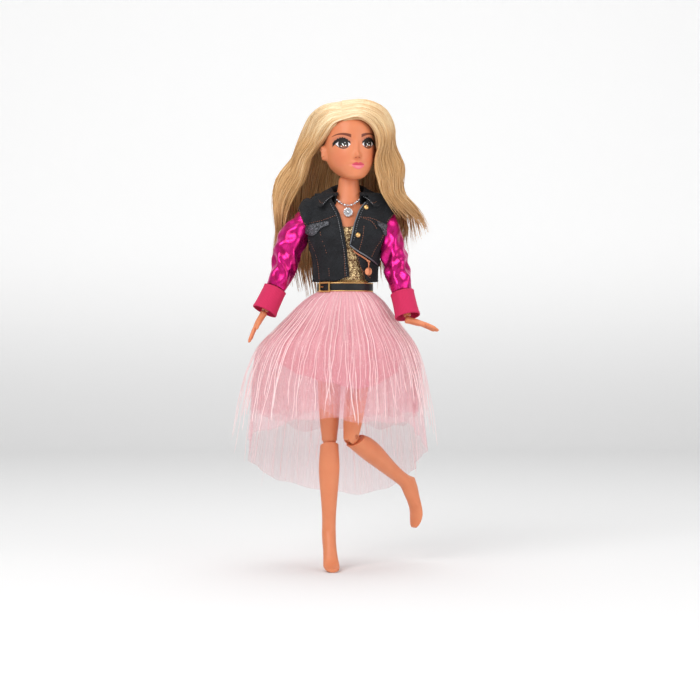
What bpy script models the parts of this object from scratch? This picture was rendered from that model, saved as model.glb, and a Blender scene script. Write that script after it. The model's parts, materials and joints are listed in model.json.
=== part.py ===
"""Articulated fashion doll in a cropped denim jacket and a layered tulle skirt.

The frame has its origin at the middle of the waist. The doll faces -Y, +Z is up and +X is
the doll's left. "left" and "right" are the doll's own, and side is +1 for left, -1 for right.
Lengths are in metres. A value or table of shares gives fractions of a named length.
"""

import math
from typing import NamedTuple

import bmesh
import bpy
from mathutils import Matrix, Vector

SIDES = {1: "left", -1: "right"}

# Clearances and cutting allowances shared by all pieces
SEAT_GAP = 0.0003
RUNNING_GAP = 0.0004
CUT_OVERRUN = 0.004
CUT_REACH = 0.08
MERGE_DISTANCE = 0.00001

# Trunk
TORSO_HEIGHT = 0.1
HIP_SHARE = -0.34
TOP_LOWER_SHARE = 0.034
JACKET_HEM_SHARE = 0.036
TOP_UPPER_SHARE = 0.385
SHOULDER_SHARE = 0.46
NECKLACE_SHARE = 0.502
NECK_FOOT_SHARE = 0.545
JACKET_NECK_SHARE = 0.555
CHEST_WIDTH = 0.036
CHEST_DEPTH = 0.024
SHOULDER_LEAN = 0.00125
SHELL_JOINT_GAP = 0.0003
THIGH_BACK_SWING = math.radians(14)

# Neck and head
NECK_X = 0.0023
NECK_Y = 0.001
NECK_RADIUS = 0.0058
NECK_FOOT_Z = TORSO_HEIGHT * NECK_FOOT_SHARE
NECK_LENGTH = 0.0155
NECK_PLUG_RADIUS = 0.004
NECK_PLUG_DEPTH = 0.006
NECK_BALL_RADIUS = 0.0043
NECK_BALL_Z = NECK_FOOT_Z + NECK_LENGTH
NECK_CUP_DEPTH = 0.0005
KNOB_STEM_RADIUS = 0.0024
KNOB_RADIUS = 0.0042
KNOB_HEIGHT = 0.0126
KNOB_THICKNESS = 0.0027
HEAD_SOCKET_RADIUS = 0.007
CHIN_DROP = 0.0021
CHIN_Z = NECK_BALL_Z - CHIN_DROP
HEAD_HEIGHT = 0.0441
HEAD_WIDTH = 0.031
HEAD_DEPTH = 0.036
HEAD_X = 0.003

# Arms
SHOULDER_Z = TORSO_HEIGHT * SHOULDER_SHARE
SHOULDER_Y = 0.0008
SHOULDER_SPAN = 0.0465
SHOULDER_BALL_RADIUS = 0.0056
SHOULDER_PEG_RADIUS = 0.0018
SHOULDER_PEG_BALL_RADIUS = 0.003
SHOULDER_PEG_LENGTH = 0.0135
UPPER_ARM_LENGTH = 0.0358
UPPER_ARM_RADIUS = 0.0043
ELBOW_RADIUS = 0.0033
ELBOW_TONGUE_THICKNESS = 0.0019
ELBOW_PIN_RADIUS = 0.0008
FOREARM_LENGTH = 0.0345
FOREARM_RADIUS = 0.0038
WRIST_RADIUS = 0.0024
WRIST_DROP = 0.0028
WRIST_STEM_RADIUS = 0.0008
WRIST_STEM_LENGTH = 0.0066
WRIST_TONGUE_RADIUS = 0.0015
WRIST_TONGUE_THICKNESS = 0.0017
PEG_SLOT_REACH = 0.02
PEG_SLOT_LOW = math.radians(-24)
PEG_SLOT_HIGH = math.radians(112)

# Hands
PALM_LENGTH = 0.0088
PALM_WIDTH = 0.0066
PALM_THICKNESS = 0.003
FINGER_LENGTH = 0.0112
FINGER_RADIUS = 0.00092
THUMB_LENGTH = 0.0082
THUMB_RADIUS = 0.0011

# Legs
HIP_Z = TORSO_HEIGHT * HIP_SHARE
HIP_X = 0.0005
HIP_SPAN = 0.0206
HIP_BALL_RADIUS = 0.0082
HIP_PEG_RADIUS = 0.002
HIP_PEG_BALL_RADIUS = 0.0034
HIP_STUB_RADIUS = 0.0014
HIP_STUB_LENGTH = 0.001
CROTCH_HALF_THICKNESS = 0.0013
HIP_CAP_LENGTH = 0.012
THIGH_POST_RADIUS = 0.003
THIGH_POST_LENGTH = 0.005
THIGH_LENGTH = 0.06
THIGH_RADIUS = 0.0076
KNEE_RADIUS = 0.005
KNEE_TONGUE_THICKNESS = 0.0032
KNEE_PIN_RADIUS = 0.0011
SHIN_LENGTH = 0.0565
CALF_RADIUS = 0.0069
FOOT_DROP = 0.0245
FOOT_LENGTH = 0.0215
FOOT_WIDTH = 0.0104

# Top and jacket
TOP_EASE = 0.0005
TOP_THICKNESS = 0.0005
TOP_UPPER_Z = TORSO_HEIGHT * TOP_UPPER_SHARE
TOP_LOWER_Z = TORSO_HEIGHT * TOP_LOWER_SHARE
TOP_ROW_GAP = 0.001
JACKET_HALF_WIDTH = 0.0265
JACKET_EASE = 0.0022
DENIM_THICKNESS = 0.0007
JACKET_HEM_Z = TORSO_HEIGHT * JACKET_HEM_SHARE
JACKET_NECK_Z = TORSO_HEIGHT * JACKET_NECK_SHARE
ARMHOLE_DEPTH = 0.03
ARMHOLE_DOME = math.radians(55)
OVERLAP_GAP = 0.0006
FLAP_THICKNESS = 0.0006
COLLAR_RADIUS = 0.0096
COLLAR_RISE = 0.0045
COLLAR_LIFT = 0.0012
COLLAR_DIP = 0.0035
COLLAR_OPENING = math.radians(50)
ZIP_WIDTH = 0.0017
ZIP_THICKNESS = 0.0006
PULLER_RADIUS = 0.0025
PULLER_THICKNESS = 0.0008
BUTTON_RADIUS = 0.0016
BUTTON_HEIGHT = 0.0011

# Belt and necklace
BELT_HALF_WIDTH = 0.0165
BELT_HALF_DEPTH = 0.0125
BELT_HEIGHT = 0.0054
BELT_THICKNESS = 0.001
BUCKLE_WIDTH = 0.0082
BUCKLE_HEIGHT = 0.0064
BUCKLE_WIRE = 0.0009
CHAIN_RADIUS = 0.0007
CHAIN_STAND = 0.0015
NECKLACE_MIDDLE = 0.0019
NECKLACE_HALF_WIDTH = 0.0072
NECKLACE_HALF_DEPTH = 0.0091
NECKLACE_LOW_Z = TORSO_HEIGHT * NECKLACE_SHARE
NECKLACE_RISE = 0.0066
NECKLACE_REACH = math.radians(78)
PENDANT_RADIUS = 0.0029
PENDANT_THICKNESS = 0.0012
PENDANT_STAND = 0.0012

# Sleeves and cuffs
SLEEVE_RADIUS = {1: 0.006, -1: 0.0068}
SLEEVE_THICKNESS = 0.0006
CUFF_TOP_RADIUS = 0.0068
CUFF_HEM_RADIUS = 0.0066
CUFF_LENGTH = 0.0175
CUFF_END = 0.0315

# Skirt
SKIRT_TOP_Z = -0.0036
SKIRT_WAIST_HALF_WIDTH = 0.0172
SKIRT_WAIST_HALF_DEPTH = 0.0132
WAISTBAND_THICKNESS = 0.0008
WAIST_SEAM_GAP = 0.0007
LINING_DROP = 0.056
LINING_FLARE = 0.0245
LINING_INSET = 0.002
LINING_FOLD_DEPTH = 0.0011
LINING_THICKNESS = 0.0005
TULLE_DROP = 0.08
TULLE_TRAIN = 0.05
TULLE_FLARE = 0.0355
TULLE_FOLD_DEPTH = 0.0024
TULLE_THICKNESS = 0.0005
GORE_GAP = 0.0004

# Hair
HAIR_RISE = 0.0489
HAIR_HALF_WIDTH = 0.031
HAIR_HALF_DEPTH = 0.0235
HAIR_SKIN_GAP = 0.0006
HAIRLINE_RISE = 0.0376
HAIRLINE_HALF_WIDTH = 0.0138
HAIR_LENGTH = 0.088
HAIR_THICKNESS = 0.0105
LOCK_GROOVE_SHARE = 0.09

# Rest pose: the turn of each joint as the doll stands in its box
HEAD_TURN = math.radians(14)
HEAD_TILT = math.radians(2)
ARM_SWING = {1: math.radians(12), -1: math.radians(6)}
ARM_RAISE = {1: math.radians(12), -1: math.radians(24.3)}
ELBOW_BEND = {1: math.radians(4), -1: math.radians(6)}
WRIST_BEND = {1: math.radians(62), -1: math.radians(6)}
HIP_SWING = {1: math.radians(10), -1: 0}
HIP_SPREAD = {1: math.radians(-6.8), -1: 0}
THIGH_TURN = {1: math.radians(43), -1: math.radians(8)}
KNEE_BEND = {1: math.radians(70), -1: math.radians(2)}

# How finely each kind of shape is divided
TURNED_STEPS = 10
BALL_STEPS = 7
JOINT_RINGS = 5
SWEEP_POINTS = 6
TORSO_HALF_POINTS = 11
HEAD_RING_SIDES = 24
HEAD_RING_COUNT = 14
HAIR_RING_SIDES = 20
LOCK_SIDES = 20
LOCK_GROOVES = 5
ARM_RING_SIDES = 10
LEG_RING_SIDES = 14
DIGIT_SIDES = 6
SLEEVE_SIDES = 15
SLEEVE_CREASES = 5
PANEL_ROWS = 6
PANEL_COLUMNS = 6
FLAP_ROWS = 3
JACKET_ROWS = 7
JACKET_COLUMNS = 16
COLLAR_COLUMNS = 13
ZIP_POINTS = 7
BELT_SIDES = 24
BUTTON_STEPS = 5
NECKLACE_POINTS = 13
CHAIN_RESOLUTION = 1

# Rows of height, lean, half width, front depth and back depth of the trunk
TORSO_SHARES = (
    (-0.405, 0.0, 0.14, 0.16, 0.2),
    (-0.39, 0.0, 0.31, 0.32, 0.38),
    (-0.36, 0.0, 0.43, 0.42, 0.52),
    (-0.31, 0.0, 0.515, 0.48, 0.6),
    (-0.23, 0.0, 0.51, 0.47, 0.595),
    (-0.14, 0.0, 0.44, 0.43, 0.49),
    (-0.06, 0.0, 0.367, 0.388, 0.388),
    (0.0, 0.0, 0.345, 0.375, 0.36),
    (0.08, 0.15, 0.35, 0.388, 0.367),
    (0.18, 0.4, 0.405, 0.44, 0.4),
    (0.26, 0.6, 0.46, 0.55, 0.433),
    (0.31, 0.75, 0.483, 0.605, 0.45),
    (0.36, 0.85, 0.494, 0.56, 0.454),
    (0.42, 0.95, 0.5, 0.44, 0.43),
    (0.47, 1.05, 0.478, 0.358, 0.383),
    (0.505, 1.3, 0.394, 0.308, 0.342),
    (0.53, 1.6, 0.272, 0.275, 0.308),
    (0.545, 1.8, 0.2, 0.258, 0.283),
)

# Rows of radius and height of the neck, from its cup to its foot
NECK_SHARES = ((0.94, 1.0), (1.0, 0.86), (0.98, 0.45))
NECK_FLARE_SHARE = 1.08

# Rows of height, half width, front and back of the head
HEAD_SHARES = (
    (0.0, 0.08, 0.41, -0.27),
    (0.03, 0.19, 0.46, -0.1),
    (0.075, 0.285, 0.48, 0.16),
    (0.14, 0.365, 0.488, 0.33),
    (0.21, 0.42, 0.482, 0.42),
    (0.31, 0.468, 0.478, 0.48),
    (0.42, 0.494, 0.476, 0.512),
    (0.53, 0.5, 0.478, 0.527),
    (0.64, 0.497, 0.478, 0.527),
    (0.75, 0.478, 0.46, 0.505),
    (0.86, 0.42, 0.395, 0.45),
    (0.94, 0.315, 0.285, 0.36),
    (1.0, 0.13, 0.12, 0.18),
)
HEAD_ROUNDNESS_SHARE = 0.92
FACE_CROWDING_SHARE = 0.32

# Bumps of the face, tip of the nose to the eye sockets: side, height, reach, rise and relief
FACE_RELIEF_SHARES = (
    (0.0, 0.33, 0.06, 0.05, 0.075),
    (0.0, 0.42, 0.045, 0.085, 0.035),
    (0.0, 0.205, 0.11, 0.04, 0.03),
    (0.0, 0.05, 0.11, 0.05, 0.02),
    (0.245, 0.5, 0.12, 0.06, -0.035),
    (-0.245, 0.5, 0.12, 0.06, -0.035),
)
# Height, reach, rise, relief and set back of an ear
EAR_SHARES = (0.4, 0.1, 0.075, 0.05, 0.3)

# Distance down each limb and its radius
UPPER_ARM_SHARES = ((0.1, 1.16), (0.3, 1.02), (0.55, 0.95), (0.8, 0.87))
FOREARM_SHARES = ((0.12, 0.86), (0.25, 1.0), (0.5, 0.95), (0.75, 0.76), (0.93, 0.66))
FOREARM_TOP_SHARE = 0.78
FOREARM_END_SHARE = 0.594
THIGH_SHARES = ((0.26, 1.01), (0.44, 0.99), (0.62, 0.93), (0.78, 0.85), (0.88, 0.78))
THIGH_POST_ROOT_SHARE = 1.3
PIN_LENGTH_SHARE = 0.9
TONGUE_RADIUS_SHARE = 0.7
TONGUE_NECK_SHARE = 0.56
TONGUE_NECK_THICKNESS_SHARE = 0.94
TONGUE_ROOT_SHARE = 1.5
HINGE_CUT_SHARE = 2.0

# Rows down the shin: distance, half width, front, back and slope
SHIN_SHARES = (
    (0.085, 0.87, 0.89, 0.89, 0.5),
    (0.14, 0.88, 0.85, 0.98, 0.3),
    (0.24, 0.96, 0.86, 1.16, 0.1),
    (0.38, 1.0, 0.83, 1.22, 0.0),
    (0.55, 0.87, 0.76, 1.0, 0.0),
    (0.75, 0.7, 0.66, 0.76, 0.0),
    (0.92, 0.63, 0.6, 0.68, 0.0),
)
# Rows along the foot: forward, down, half width, half thickness and pitch
FOOT_SHARES = (
    (-0.02, 0.04, 0.43, 0.43, 0.0),
    (-0.03, 0.2, 0.44, 0.58, 0.18),
    (0.1, 0.38, 0.42, 0.56, 0.34),
    (0.26, 0.57, 0.42, 0.43, 0.43),
    (0.42, 0.76, 0.46, 0.34, 0.5),
    (0.57, 0.87, 0.5, 0.285, 0.68),
    (0.73, 0.93, 0.47, 0.21, 0.9),
    (0.89, 0.955, 0.38, 0.15, 0.98),
    (0.98, 0.965, 0.22, 0.09, 1.0),
)

# Rows down the palm: distance, half width and half thickness
PALM_SHARES = ((0.14, 0.66, 0.9), (0.4, 0.84, 1.0), (0.7, 1.0, 0.96), (1.0, 0.98, 0.72))
PALM_START_SHARE = 0.5
KNUCKLE_SHARE = 0.9
# Each finger's place across the palm, its length and its fan
FINGER_SHARES = ((-0.37, 0.86, 0.08), (-0.125, 1.0, 0.02), (0.125, 0.95, -0.025), (0.36, 0.78, -0.085))
FINGER_LEAN_SHARE = 0.06
DIGIT_SHARES = ((0.0, 0.98), (0.35, 1.0), (0.7, 0.86), (0.93, 0.64), (1.0, 0.3))
THUMB_START_SHARES = (0.1, -0.3, -0.4)
THUMB_WAY_SHARES = (0.16, -0.36, -1.0)

# Rows of height and half width of the jacket
JACKET_WIDTH_SHARES = (
    (0.0, 0.76),
    (0.2, 0.77),
    (0.36, 0.84),
    (0.5, 0.97),
    (0.66, 1.0),
    (0.82, 0.98),
    (0.91, 0.93),
    (0.96, 0.82),
    (1.0, 0.52),
)
# Edges across the front by height, and the slanting foot of the left panel by its place across
SIDE_SEAM_SHARE = 0.985
SIDE_EDGE_SHARES = ((0.0, 0.965), (1.0, 0.965))
RIGHT_SIDE_EDGE_SHARES = ((0.0, -0.965), (1.0, -0.965))
RIGHT_FRONT_EDGE_SHARES = ((0.0, 0.11), (0.35, 0.02), (0.7, -0.12), (1.0, -0.5))
LEFT_FRONT_EDGE_SHARES = ((0.42, 0.12), (0.7, 0.2), (1.0, 0.75))
LEFT_FOOT_SHARES = ((0.1, 0.42), (0.4, 0.3), (0.7, 0.17), (1.0, 0.05))
UNDERLAP_EDGE_SHARES = ((0.0, 0.66), (0.2, 0.42), (0.36, 0.26))
PANEL_TOP_SHARE = 0.94
UNDERLAP_TOP_SHARE = 0.36
FLAP_HEIGHT_SHARES = (0.54, 0.66)
RIGHT_FLAP_EDGE_SHARES = (((0.0, -0.9), (1.0, -0.9)), ((0.0, -0.34), (1.0, -0.34)))
LEFT_FLAP_EDGE_SHARES = (((0.0, 0.64), (1.0, 0.64)), ((0.0, 0.9), (1.0, 0.9)))
BUTTON_PLACE_SHARES = ((0.42, 0.88), (0.25, 0.54))
FRAME_STEP_SHARE = 0.02
ZIP_ACROSS_SHARES = (0.2, 0.56)
ZIP_START_SHARE = 0.5
PULLER_SHIFT_SHARE = 0.1
PULLER_DROP_SHARE = 0.07
# Rows of rise and radius of the folded collar
COLLAR_SHARES = ((0.12, 1.0), (1.0, 1.04), (0.75, 1.36), (0.24, 1.66))
COLLAR_BREADTH_SHARE = 1.15
ARMHOLE_SHARE = 1.12

# Rows down each sleeve: distance, radius and, on the upper one, the slope outside and inside
UPPER_SLEEVE_SHARES = ((-0.02, 1.03, 0.45, 1.9), (0.3, 1.07, 0.2, 0.6), (0.65, 1.08, 0.0, 0.0),
                       (0.98, 0.98, 0.0, 0.0))
LOWER_SLEEVE_SHARES = ((0.02, 0.98, 0.0, 0.0), (0.2, 1.06, 0.0, 0.0), (0.385, 0.92, 0.0, 0.0))
SLEEVE_CREASE_SHARE = 0.035
CREASE_DRIFT_SHARE = 7.0

BUCKLE_PLACE_SHARE = 0.7
BUCKLE_TURN_SHARE = 0.8
# Rows of radius and height of the pendant, from its crown to its back
PENDANT_SHARES = ((0.0, 0.7), (0.35, 0.7), (0.4, 0.45), (0.75, 0.45), (0.8, 1.0), (1.0, 0.8), (1.0, 0.0),
                  (0.0, 0.0))

# Rows of drop and spread of the skirt's silhouette
SKIRT_SHARES = ((0.0, 0.0), (0.055, 0.19), (0.13, 0.35), (0.205, 0.48), (0.29, 0.64), (0.365, 0.81),
                (0.44, 0.92), (0.55, 0.98), (1.0, 1.03), (1.65, 1.2))
SKIRT_LEAN_SHARE = 0.13
FRONT_FLARE_SHARE = 0.6
BACK_FLARE_SHARE = 1.08
TRAIN_CURVE_SHARE = 1.5

# Rows of height and of the hair's left, right, front and back over the head
HAIR_CROWN_SHARES = (
    (0.27, 0.99, 1.23, 0.1, 0.98),
    (0.38, 0.91, 1.17, 0.22, 1.0),
    (0.49, 0.87, 1.06, 0.5, 1.02),
    (0.656, 0.87, 0.88, 0.78, 1.02),
    (0.78, 0.79, 0.75, 0.84, 0.97),
    (0.88, 0.68, 0.58, 0.76, 0.85),
    (0.963, 0.51, 0.35, 0.52, 0.62),
    (1.0, 0.18, 0.11, 0.2, 0.26),
)
# Outline of the face in the hair, across and up
FACE_OPENING_SHARES = ((-1.0, 0.0), (1.0, 0.0), (1.02, 0.62), (0.86, 0.86), (0.4, 0.985), (-0.2, 1.0),
                       (-0.62, 0.93), (-0.95, 0.76), (-1.04, 0.55))
FACE_OPENING_DEPTH_SHARE = 0.1
# Rows down the long hair: drop, middle, half width, half thickness and depth
LOCK_SHARES = {
    "hair_back": (
        (0.0, -0.2, 1.04, 0.62, 0.88),
        (0.12, -0.2, 1.22, 0.78, 0.95),
        (0.28, -0.21, 1.27, 0.58, 1.06),
        (0.45, -0.24, 1.28, 0.52, 1.06),
        (0.62, -0.3, 1.22, 0.46, 1.0),
        (0.78, -0.42, 1.05, 0.42, 0.98),
        (0.92, -0.6, 0.8, 0.34, 0.94),
        (1.0, -0.72, 0.5, 0.2, 0.92),
    ),
    "hair_lock_left": (
        (0.0, 0.88, 0.13, 0.34, 0.0),
        (0.12, 0.93, 0.17, 0.42, 0.05),
        (0.26, 0.96, 0.17, 0.42, 0.12),
        (0.4, 1.06, 0.16, 0.4, 0.2),
        (0.52, 1.36, 0.2, 0.36, 0.2),
        (0.62, 1.54, 0.2, 0.3, 0.14),
        (0.7, 1.6, 0.08, 0.14, 0.1),
    ),
    "hair_lock_right": (
        (0.0, -1.0, 0.2, 0.34, 0.02),
        (0.1, -1.1, 0.24, 0.42, 0.08),
        (0.2, -1.16, 0.22, 0.4, 0.16),
        (0.3, -1.2, 0.14, 0.28, 0.22),
        (0.36, -1.22, 0.06, 0.12, 0.24),
    ),
}


class Layer(NamedTuple):
    """One layer of the skirt: its sizes, and how finely it is divided."""

    drop: float
    train: float
    flare: float
    inset: float
    folds: int
    fold_depth: float
    thickness: float
    rows: int
    columns: int


LINING = Layer(LINING_DROP, 0, LINING_FLARE, LINING_INSET, 8, LINING_FOLD_DEPTH, LINING_THICKNESS, 7, 17)
TULLE = Layer(TULLE_DROP, TULLE_TRAIN, TULLE_FLARE, 0, 12, TULLE_FOLD_DEPTH, TULLE_THICKNESS, 9, 25)


def clear_scene():
    """Removes what the file holds, so that the model starts empty."""
    for item in list(bpy.data.objects):
        bpy.data.objects.remove(item, do_unlink=True)


def new_collection(name):
    """Returns a fresh collection linked to the scene."""
    collection = bpy.data.collections.new(name)
    bpy.context.scene.collection.children.link(collection)
    return collection


def material(name, colour, roughness, metallic=0.0):
    """Returns a plain Principled material."""
    made = bpy.data.materials.new(name)
    made.use_nodes = True
    shader = made.node_tree.nodes["Principled BSDF"]
    shader.inputs["Base Color"].default_value = (*colour, 1.0)
    shader.inputs["Roughness"].default_value = roughness
    shader.inputs["Metallic"].default_value = metallic
    return made


def place(item, look, parent, group):
    """Puts an object in its collection, under its parent and in its material."""
    group.objects.link(item)
    if look:
        item.data.materials.append(look)
    if parent:
        item.parent = parent
    return item


def empty(name, parent, location, rotation=(0, 0, 0)):
    """Returns an empty that carries the pieces on one joint's axis."""
    made = bpy.data.objects.new(name, None)
    made.location = location
    made.rotation_euler = rotation
    made.parent = parent
    PARTS.objects.link(made)
    return made


def smooth(mesh):
    """Shades a mesh smooth, with its real edges kept sharp."""
    mesh.shade_smooth()
    mesh.set_sharp_from_angle(angle=math.radians(40))


def row_at(rows, position):
    """Returns a row of a table at any position, along a smooth curve through its rows."""
    last = len(rows) - 1
    position = min(max(position, rows[0][0]), rows[last][0])
    start = max(i for i in range(last) if rows[i][0] <= position)
    low, high = rows[start], rows[start + 1]
    step = high[0] - low[0]
    before, after = rows[max(start - 1, 0)], rows[min(start + 2, last)]
    along = (position - low[0]) / step
    values = []
    for column in range(1, len(low)):
        entry = (high[column] - before[column]) / (high[0] - before[0]) * step
        leave = (after[column] - low[column]) / (after[0] - low[0]) * step
        rise = high[column] - low[column]
        values.append(
            low[column]
            + entry * along
            + (3 * rise - 2 * entry - leave) * along**2
            + (entry + leave - 2 * rise) * along**3
        )
    return values


def evenly(low, high, count):
    """Returns count values from low to high."""
    return [low + (high - low) * i / (count - 1) for i in range(count)]


def oval(centre, half_width, front, back, sides, slope=0.0):
    """Returns a level oval, deeper in front or behind, that can slope from front to back."""
    points = []
    for i in range(sides):
        angle = math.tau * i / sides
        depth = front if math.cos(angle) > 0 else back
        y = -depth * math.cos(angle)
        points.append(centre + Vector((half_width * math.sin(angle), y, -slope * y)))
    return points


def circle(z, radius, sides):
    """Returns a level circle about the axis."""
    return oval(Vector((0, 0, z)), radius, radius, radius, sides)


def dome(z, radius, start, end, count, sides):
    """Returns the level circles of a ball between two angles from its top."""
    angles = evenly(start, end, count)
    return [circle(z + radius * math.cos(a), radius * math.sin(a), sides) for a in angles]


def loft(name, rings, look, parent=None, group=None):
    """Returns a closed body through rings that all have as many points."""
    mesh = bpy.data.meshes.new(name)
    shape = bmesh.new()
    loops = [[shape.verts.new(point) for point in ring] for ring in rings]
    for upper, lower in zip(loops, loops[1:]):
        for i in range(len(upper)):
            j = (i + 1) % len(upper)
            shape.faces.new((upper[i], lower[i], lower[j], upper[j]))
    shape.faces.new(loops[0])
    shape.faces.new(list(reversed(loops[-1])))
    bmesh.ops.recalc_face_normals(shape, faces=shape.faces)
    shape.to_mesh(mesh)
    shape.free()
    smooth(mesh)
    return place(bpy.data.objects.new(name, mesh), look, parent, group or PARTS)


def sheet(name, rows, thickness, look, parent=None, closed=False):
    """Returns cloth of one thickness, grown outwards from a grid of points."""
    mesh = bpy.data.meshes.new(name)
    shape = bmesh.new()
    loops = [[shape.verts.new(point) for point in row] for row in rows]
    across = len(loops[0]) if closed else len(loops[0]) - 1
    for upper, lower in zip(loops, loops[1:]):
        for i in range(across):
            j = (i + 1) % len(upper)
            shape.faces.new((upper[i], lower[i], lower[j], upper[j]))
    shape.to_mesh(mesh)
    shape.free()
    smooth(mesh)
    item = place(bpy.data.objects.new(name, mesh), look, parent, PARTS)
    solid = item.modifiers.new("Thickness", "SOLIDIFY")
    solid.thickness = thickness
    solid.offset = 1.0
    return item


def turned(name, profile, look, parent=None, location=(0, 0, 0), rotation=(0, 0, 0), group=None):
    """Returns a body turned about its own Z from a profile that runs from top to bottom."""
    mesh = bpy.data.meshes.new(name)
    mesh.from_pydata(
        [(radius, 0, height) for radius, height in profile],
        [(i, i + 1) for i in range(len(profile) - 1)],
        [],
    )
    item = place(bpy.data.objects.new(name, mesh), look, parent, group or PARTS)
    item.location = location
    item.rotation_euler = rotation
    screw = item.modifiers.new("Turned", "SCREW")
    screw.steps = screw.render_steps = TURNED_STEPS
    screw.use_merge_vertices = True
    screw.merge_threshold = MERGE_DISTANCE
    return item


def turned_cutter(name, profile, parent=None, location=(0, 0, 0), rotation=(0, 0, 0)):
    """Returns a turned cutter."""
    return hide(turned(name, profile, None, parent, location, rotation, CUTTERS))


def rod(radius, low, high):
    """Returns the turned profile of a plain rod."""
    return [(0, high), (radius, high), (radius, low), (0, low)]


def ball(radius, start=0, end=math.pi, steps=BALL_STEPS):
    """Returns the part of a ball's turned profile between two angles from its top."""
    angles = evenly(start, end, steps)
    return [(max(radius * math.sin(a), 0), radius * math.cos(a)) for a in angles]


def prism(name, outline, low, high, parent=None, axis="X"):
    """Returns a cutter with a flat outline, from low to high along X or Y."""
    rings = []
    for level in (low, high):
        if axis == "X":
            rings.append([Vector((level, a, b)) for a, b in outline])
        else:
            rings.append([Vector((a, level, b)) for a, b in outline])
    return hide(loft(name, rings, None, parent, CUTTERS))


def rectangle(left, low, right, high):
    """Returns the outline of a rectangle."""
    return [(left, low), (right, low), (right, high), (left, high)]


def hide(cutter):
    """Marks an object as a cutter."""
    cutter.hide_render = True
    cutter.display_type = "WIRE"
    return cutter


def shape_by(item, other, operation="DIFFERENCE"):
    """Cuts or joins an object with another."""
    boolean = item.modifiers.new(other.name, "BOOLEAN")
    boolean.operation = operation
    boolean.object = other
    return item


def torso_row(z):
    """Returns the trunk's middle, half width, front and back at one height."""
    lean, width, front, back = row_at(TORSO_SHARES, z / TORSO_HEIGHT)
    return lean * SHOULDER_LEAN, width * CHEST_WIDTH, front * CHEST_DEPTH, back * CHEST_DEPTH


def chest_y(x, z):
    """Returns the depth of the chest's front surface."""
    middle, width, front, _ = torso_row(z)
    return -front * math.sqrt(max(1 - ((x - middle) / width) ** 2, 0))


def shoulder(side):
    """Returns the middle of a shoulder joint."""
    return Vector((SHOULDER_LEAN + side * SHOULDER_SPAN / 2, SHOULDER_Y, SHOULDER_Z))


def hip(side):
    """Returns the middle of a hip joint."""
    return Vector((HIP_X + side * HIP_SPAN / 2, 0, HIP_Z))


def thigh_sweep(radius):
    """Returns the outline that a thigh sweeps about its hip, seen from the side."""
    reach = CUT_REACH
    turns = evenly(THIGH_BACK_SWING, math.pi / 2, SWEEP_POINTS)
    arc = [(radius * math.cos(a), HIP_Z + radius * math.sin(a)) for a in turns]
    heel = (arc[0][0] + reach * math.sin(THIGH_BACK_SWING), arc[0][1] - reach * math.cos(THIGH_BACK_SWING))
    return [heel, *arc, (-reach, HIP_Z + radius), (-reach, HIP_Z - reach)]


def half_ring(z, way):
    """Returns the front or back half of the trunk's section, flat along the moulding joint."""
    middle, width, front, back = torso_row(z)
    depth = back if way > 0 else front
    points = []
    for angle in evenly(-math.pi / 2, math.pi / 2, TORSO_HALF_POINTS):
        y = SHELL_JOINT_GAP / 2 + (depth - SHELL_JOINT_GAP / 2) * math.cos(angle)
        points.append(Vector((middle + width * math.sin(angle), way * y, z)))
    return points


def build_trunk():
    """Makes the trunk's two moulded halves and the neck that plugs into them."""
    cutters = []
    for side, word in SIDES.items():
        bore = rod(SHOULDER_PEG_RADIUS + RUNNING_GAP, -SHOULDER_PEG_LENGTH - SEAT_GAP, CUT_OVERRUN)
        cutters.append(turned_cutter(f"shoulder_bore_{word}", bore, None, shoulder(side),
                                     (0, side * math.pi / 2, 0)))
        sweep = thigh_sweep(HIP_BALL_RADIUS + RUNNING_GAP)
        near = HIP_X + side * CROTCH_HALF_THICKNESS
        cutters.append(prism(f"leg_opening_{word}", sweep, near, side * CUT_REACH))
    crotch = rod(HIP_STUB_RADIUS + SEAT_GAP, -CUT_OVERRUN, CUT_OVERRUN)
    cutters.append(turned_cutter("crotch_bore", crotch, None, (HIP_X, 0, HIP_Z), (0, math.pi / 2, 0)))
    neck_foot = (NECK_X, NECK_Y, NECK_FOOT_Z)
    socket = rod(NECK_PLUG_RADIUS + SEAT_GAP, -NECK_PLUG_DEPTH - SEAT_GAP, CUT_OVERRUN)
    cutters.append(turned_cutter("neck_socket", socket, None, neck_foot))
    for name, way in (("torso_front_shell", -1), ("torso_rear_shell", 1)):
        shell = loft(name, [half_ring(row[0] * TORSO_HEIGHT, way) for row in TORSO_SHARES], SKIN)
        for cutter in cutters:
            shape_by(shell, cutter)
    top = NECK_LENGTH - NECK_BALL_RADIUS + NECK_CUP_DEPTH
    profile = [(0, top)]
    profile += [(wide * NECK_RADIUS, high * top) for wide, high in NECK_SHARES]
    profile += [(NECK_RADIUS * NECK_FLARE_SHARE, SEAT_GAP), (NECK_PLUG_RADIUS, SEAT_GAP),
                (NECK_PLUG_RADIUS, -NECK_PLUG_DEPTH), (0, -NECK_PLUG_DEPTH)]
    post = turned("neck_post", profile, SKIN, None, neck_foot)
    shape_by(post, turned_cutter("neck_cup", ball(NECK_BALL_RADIUS + SEAT_GAP), None,
                                 (NECK_X, NECK_Y, NECK_BALL_Z)))


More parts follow.
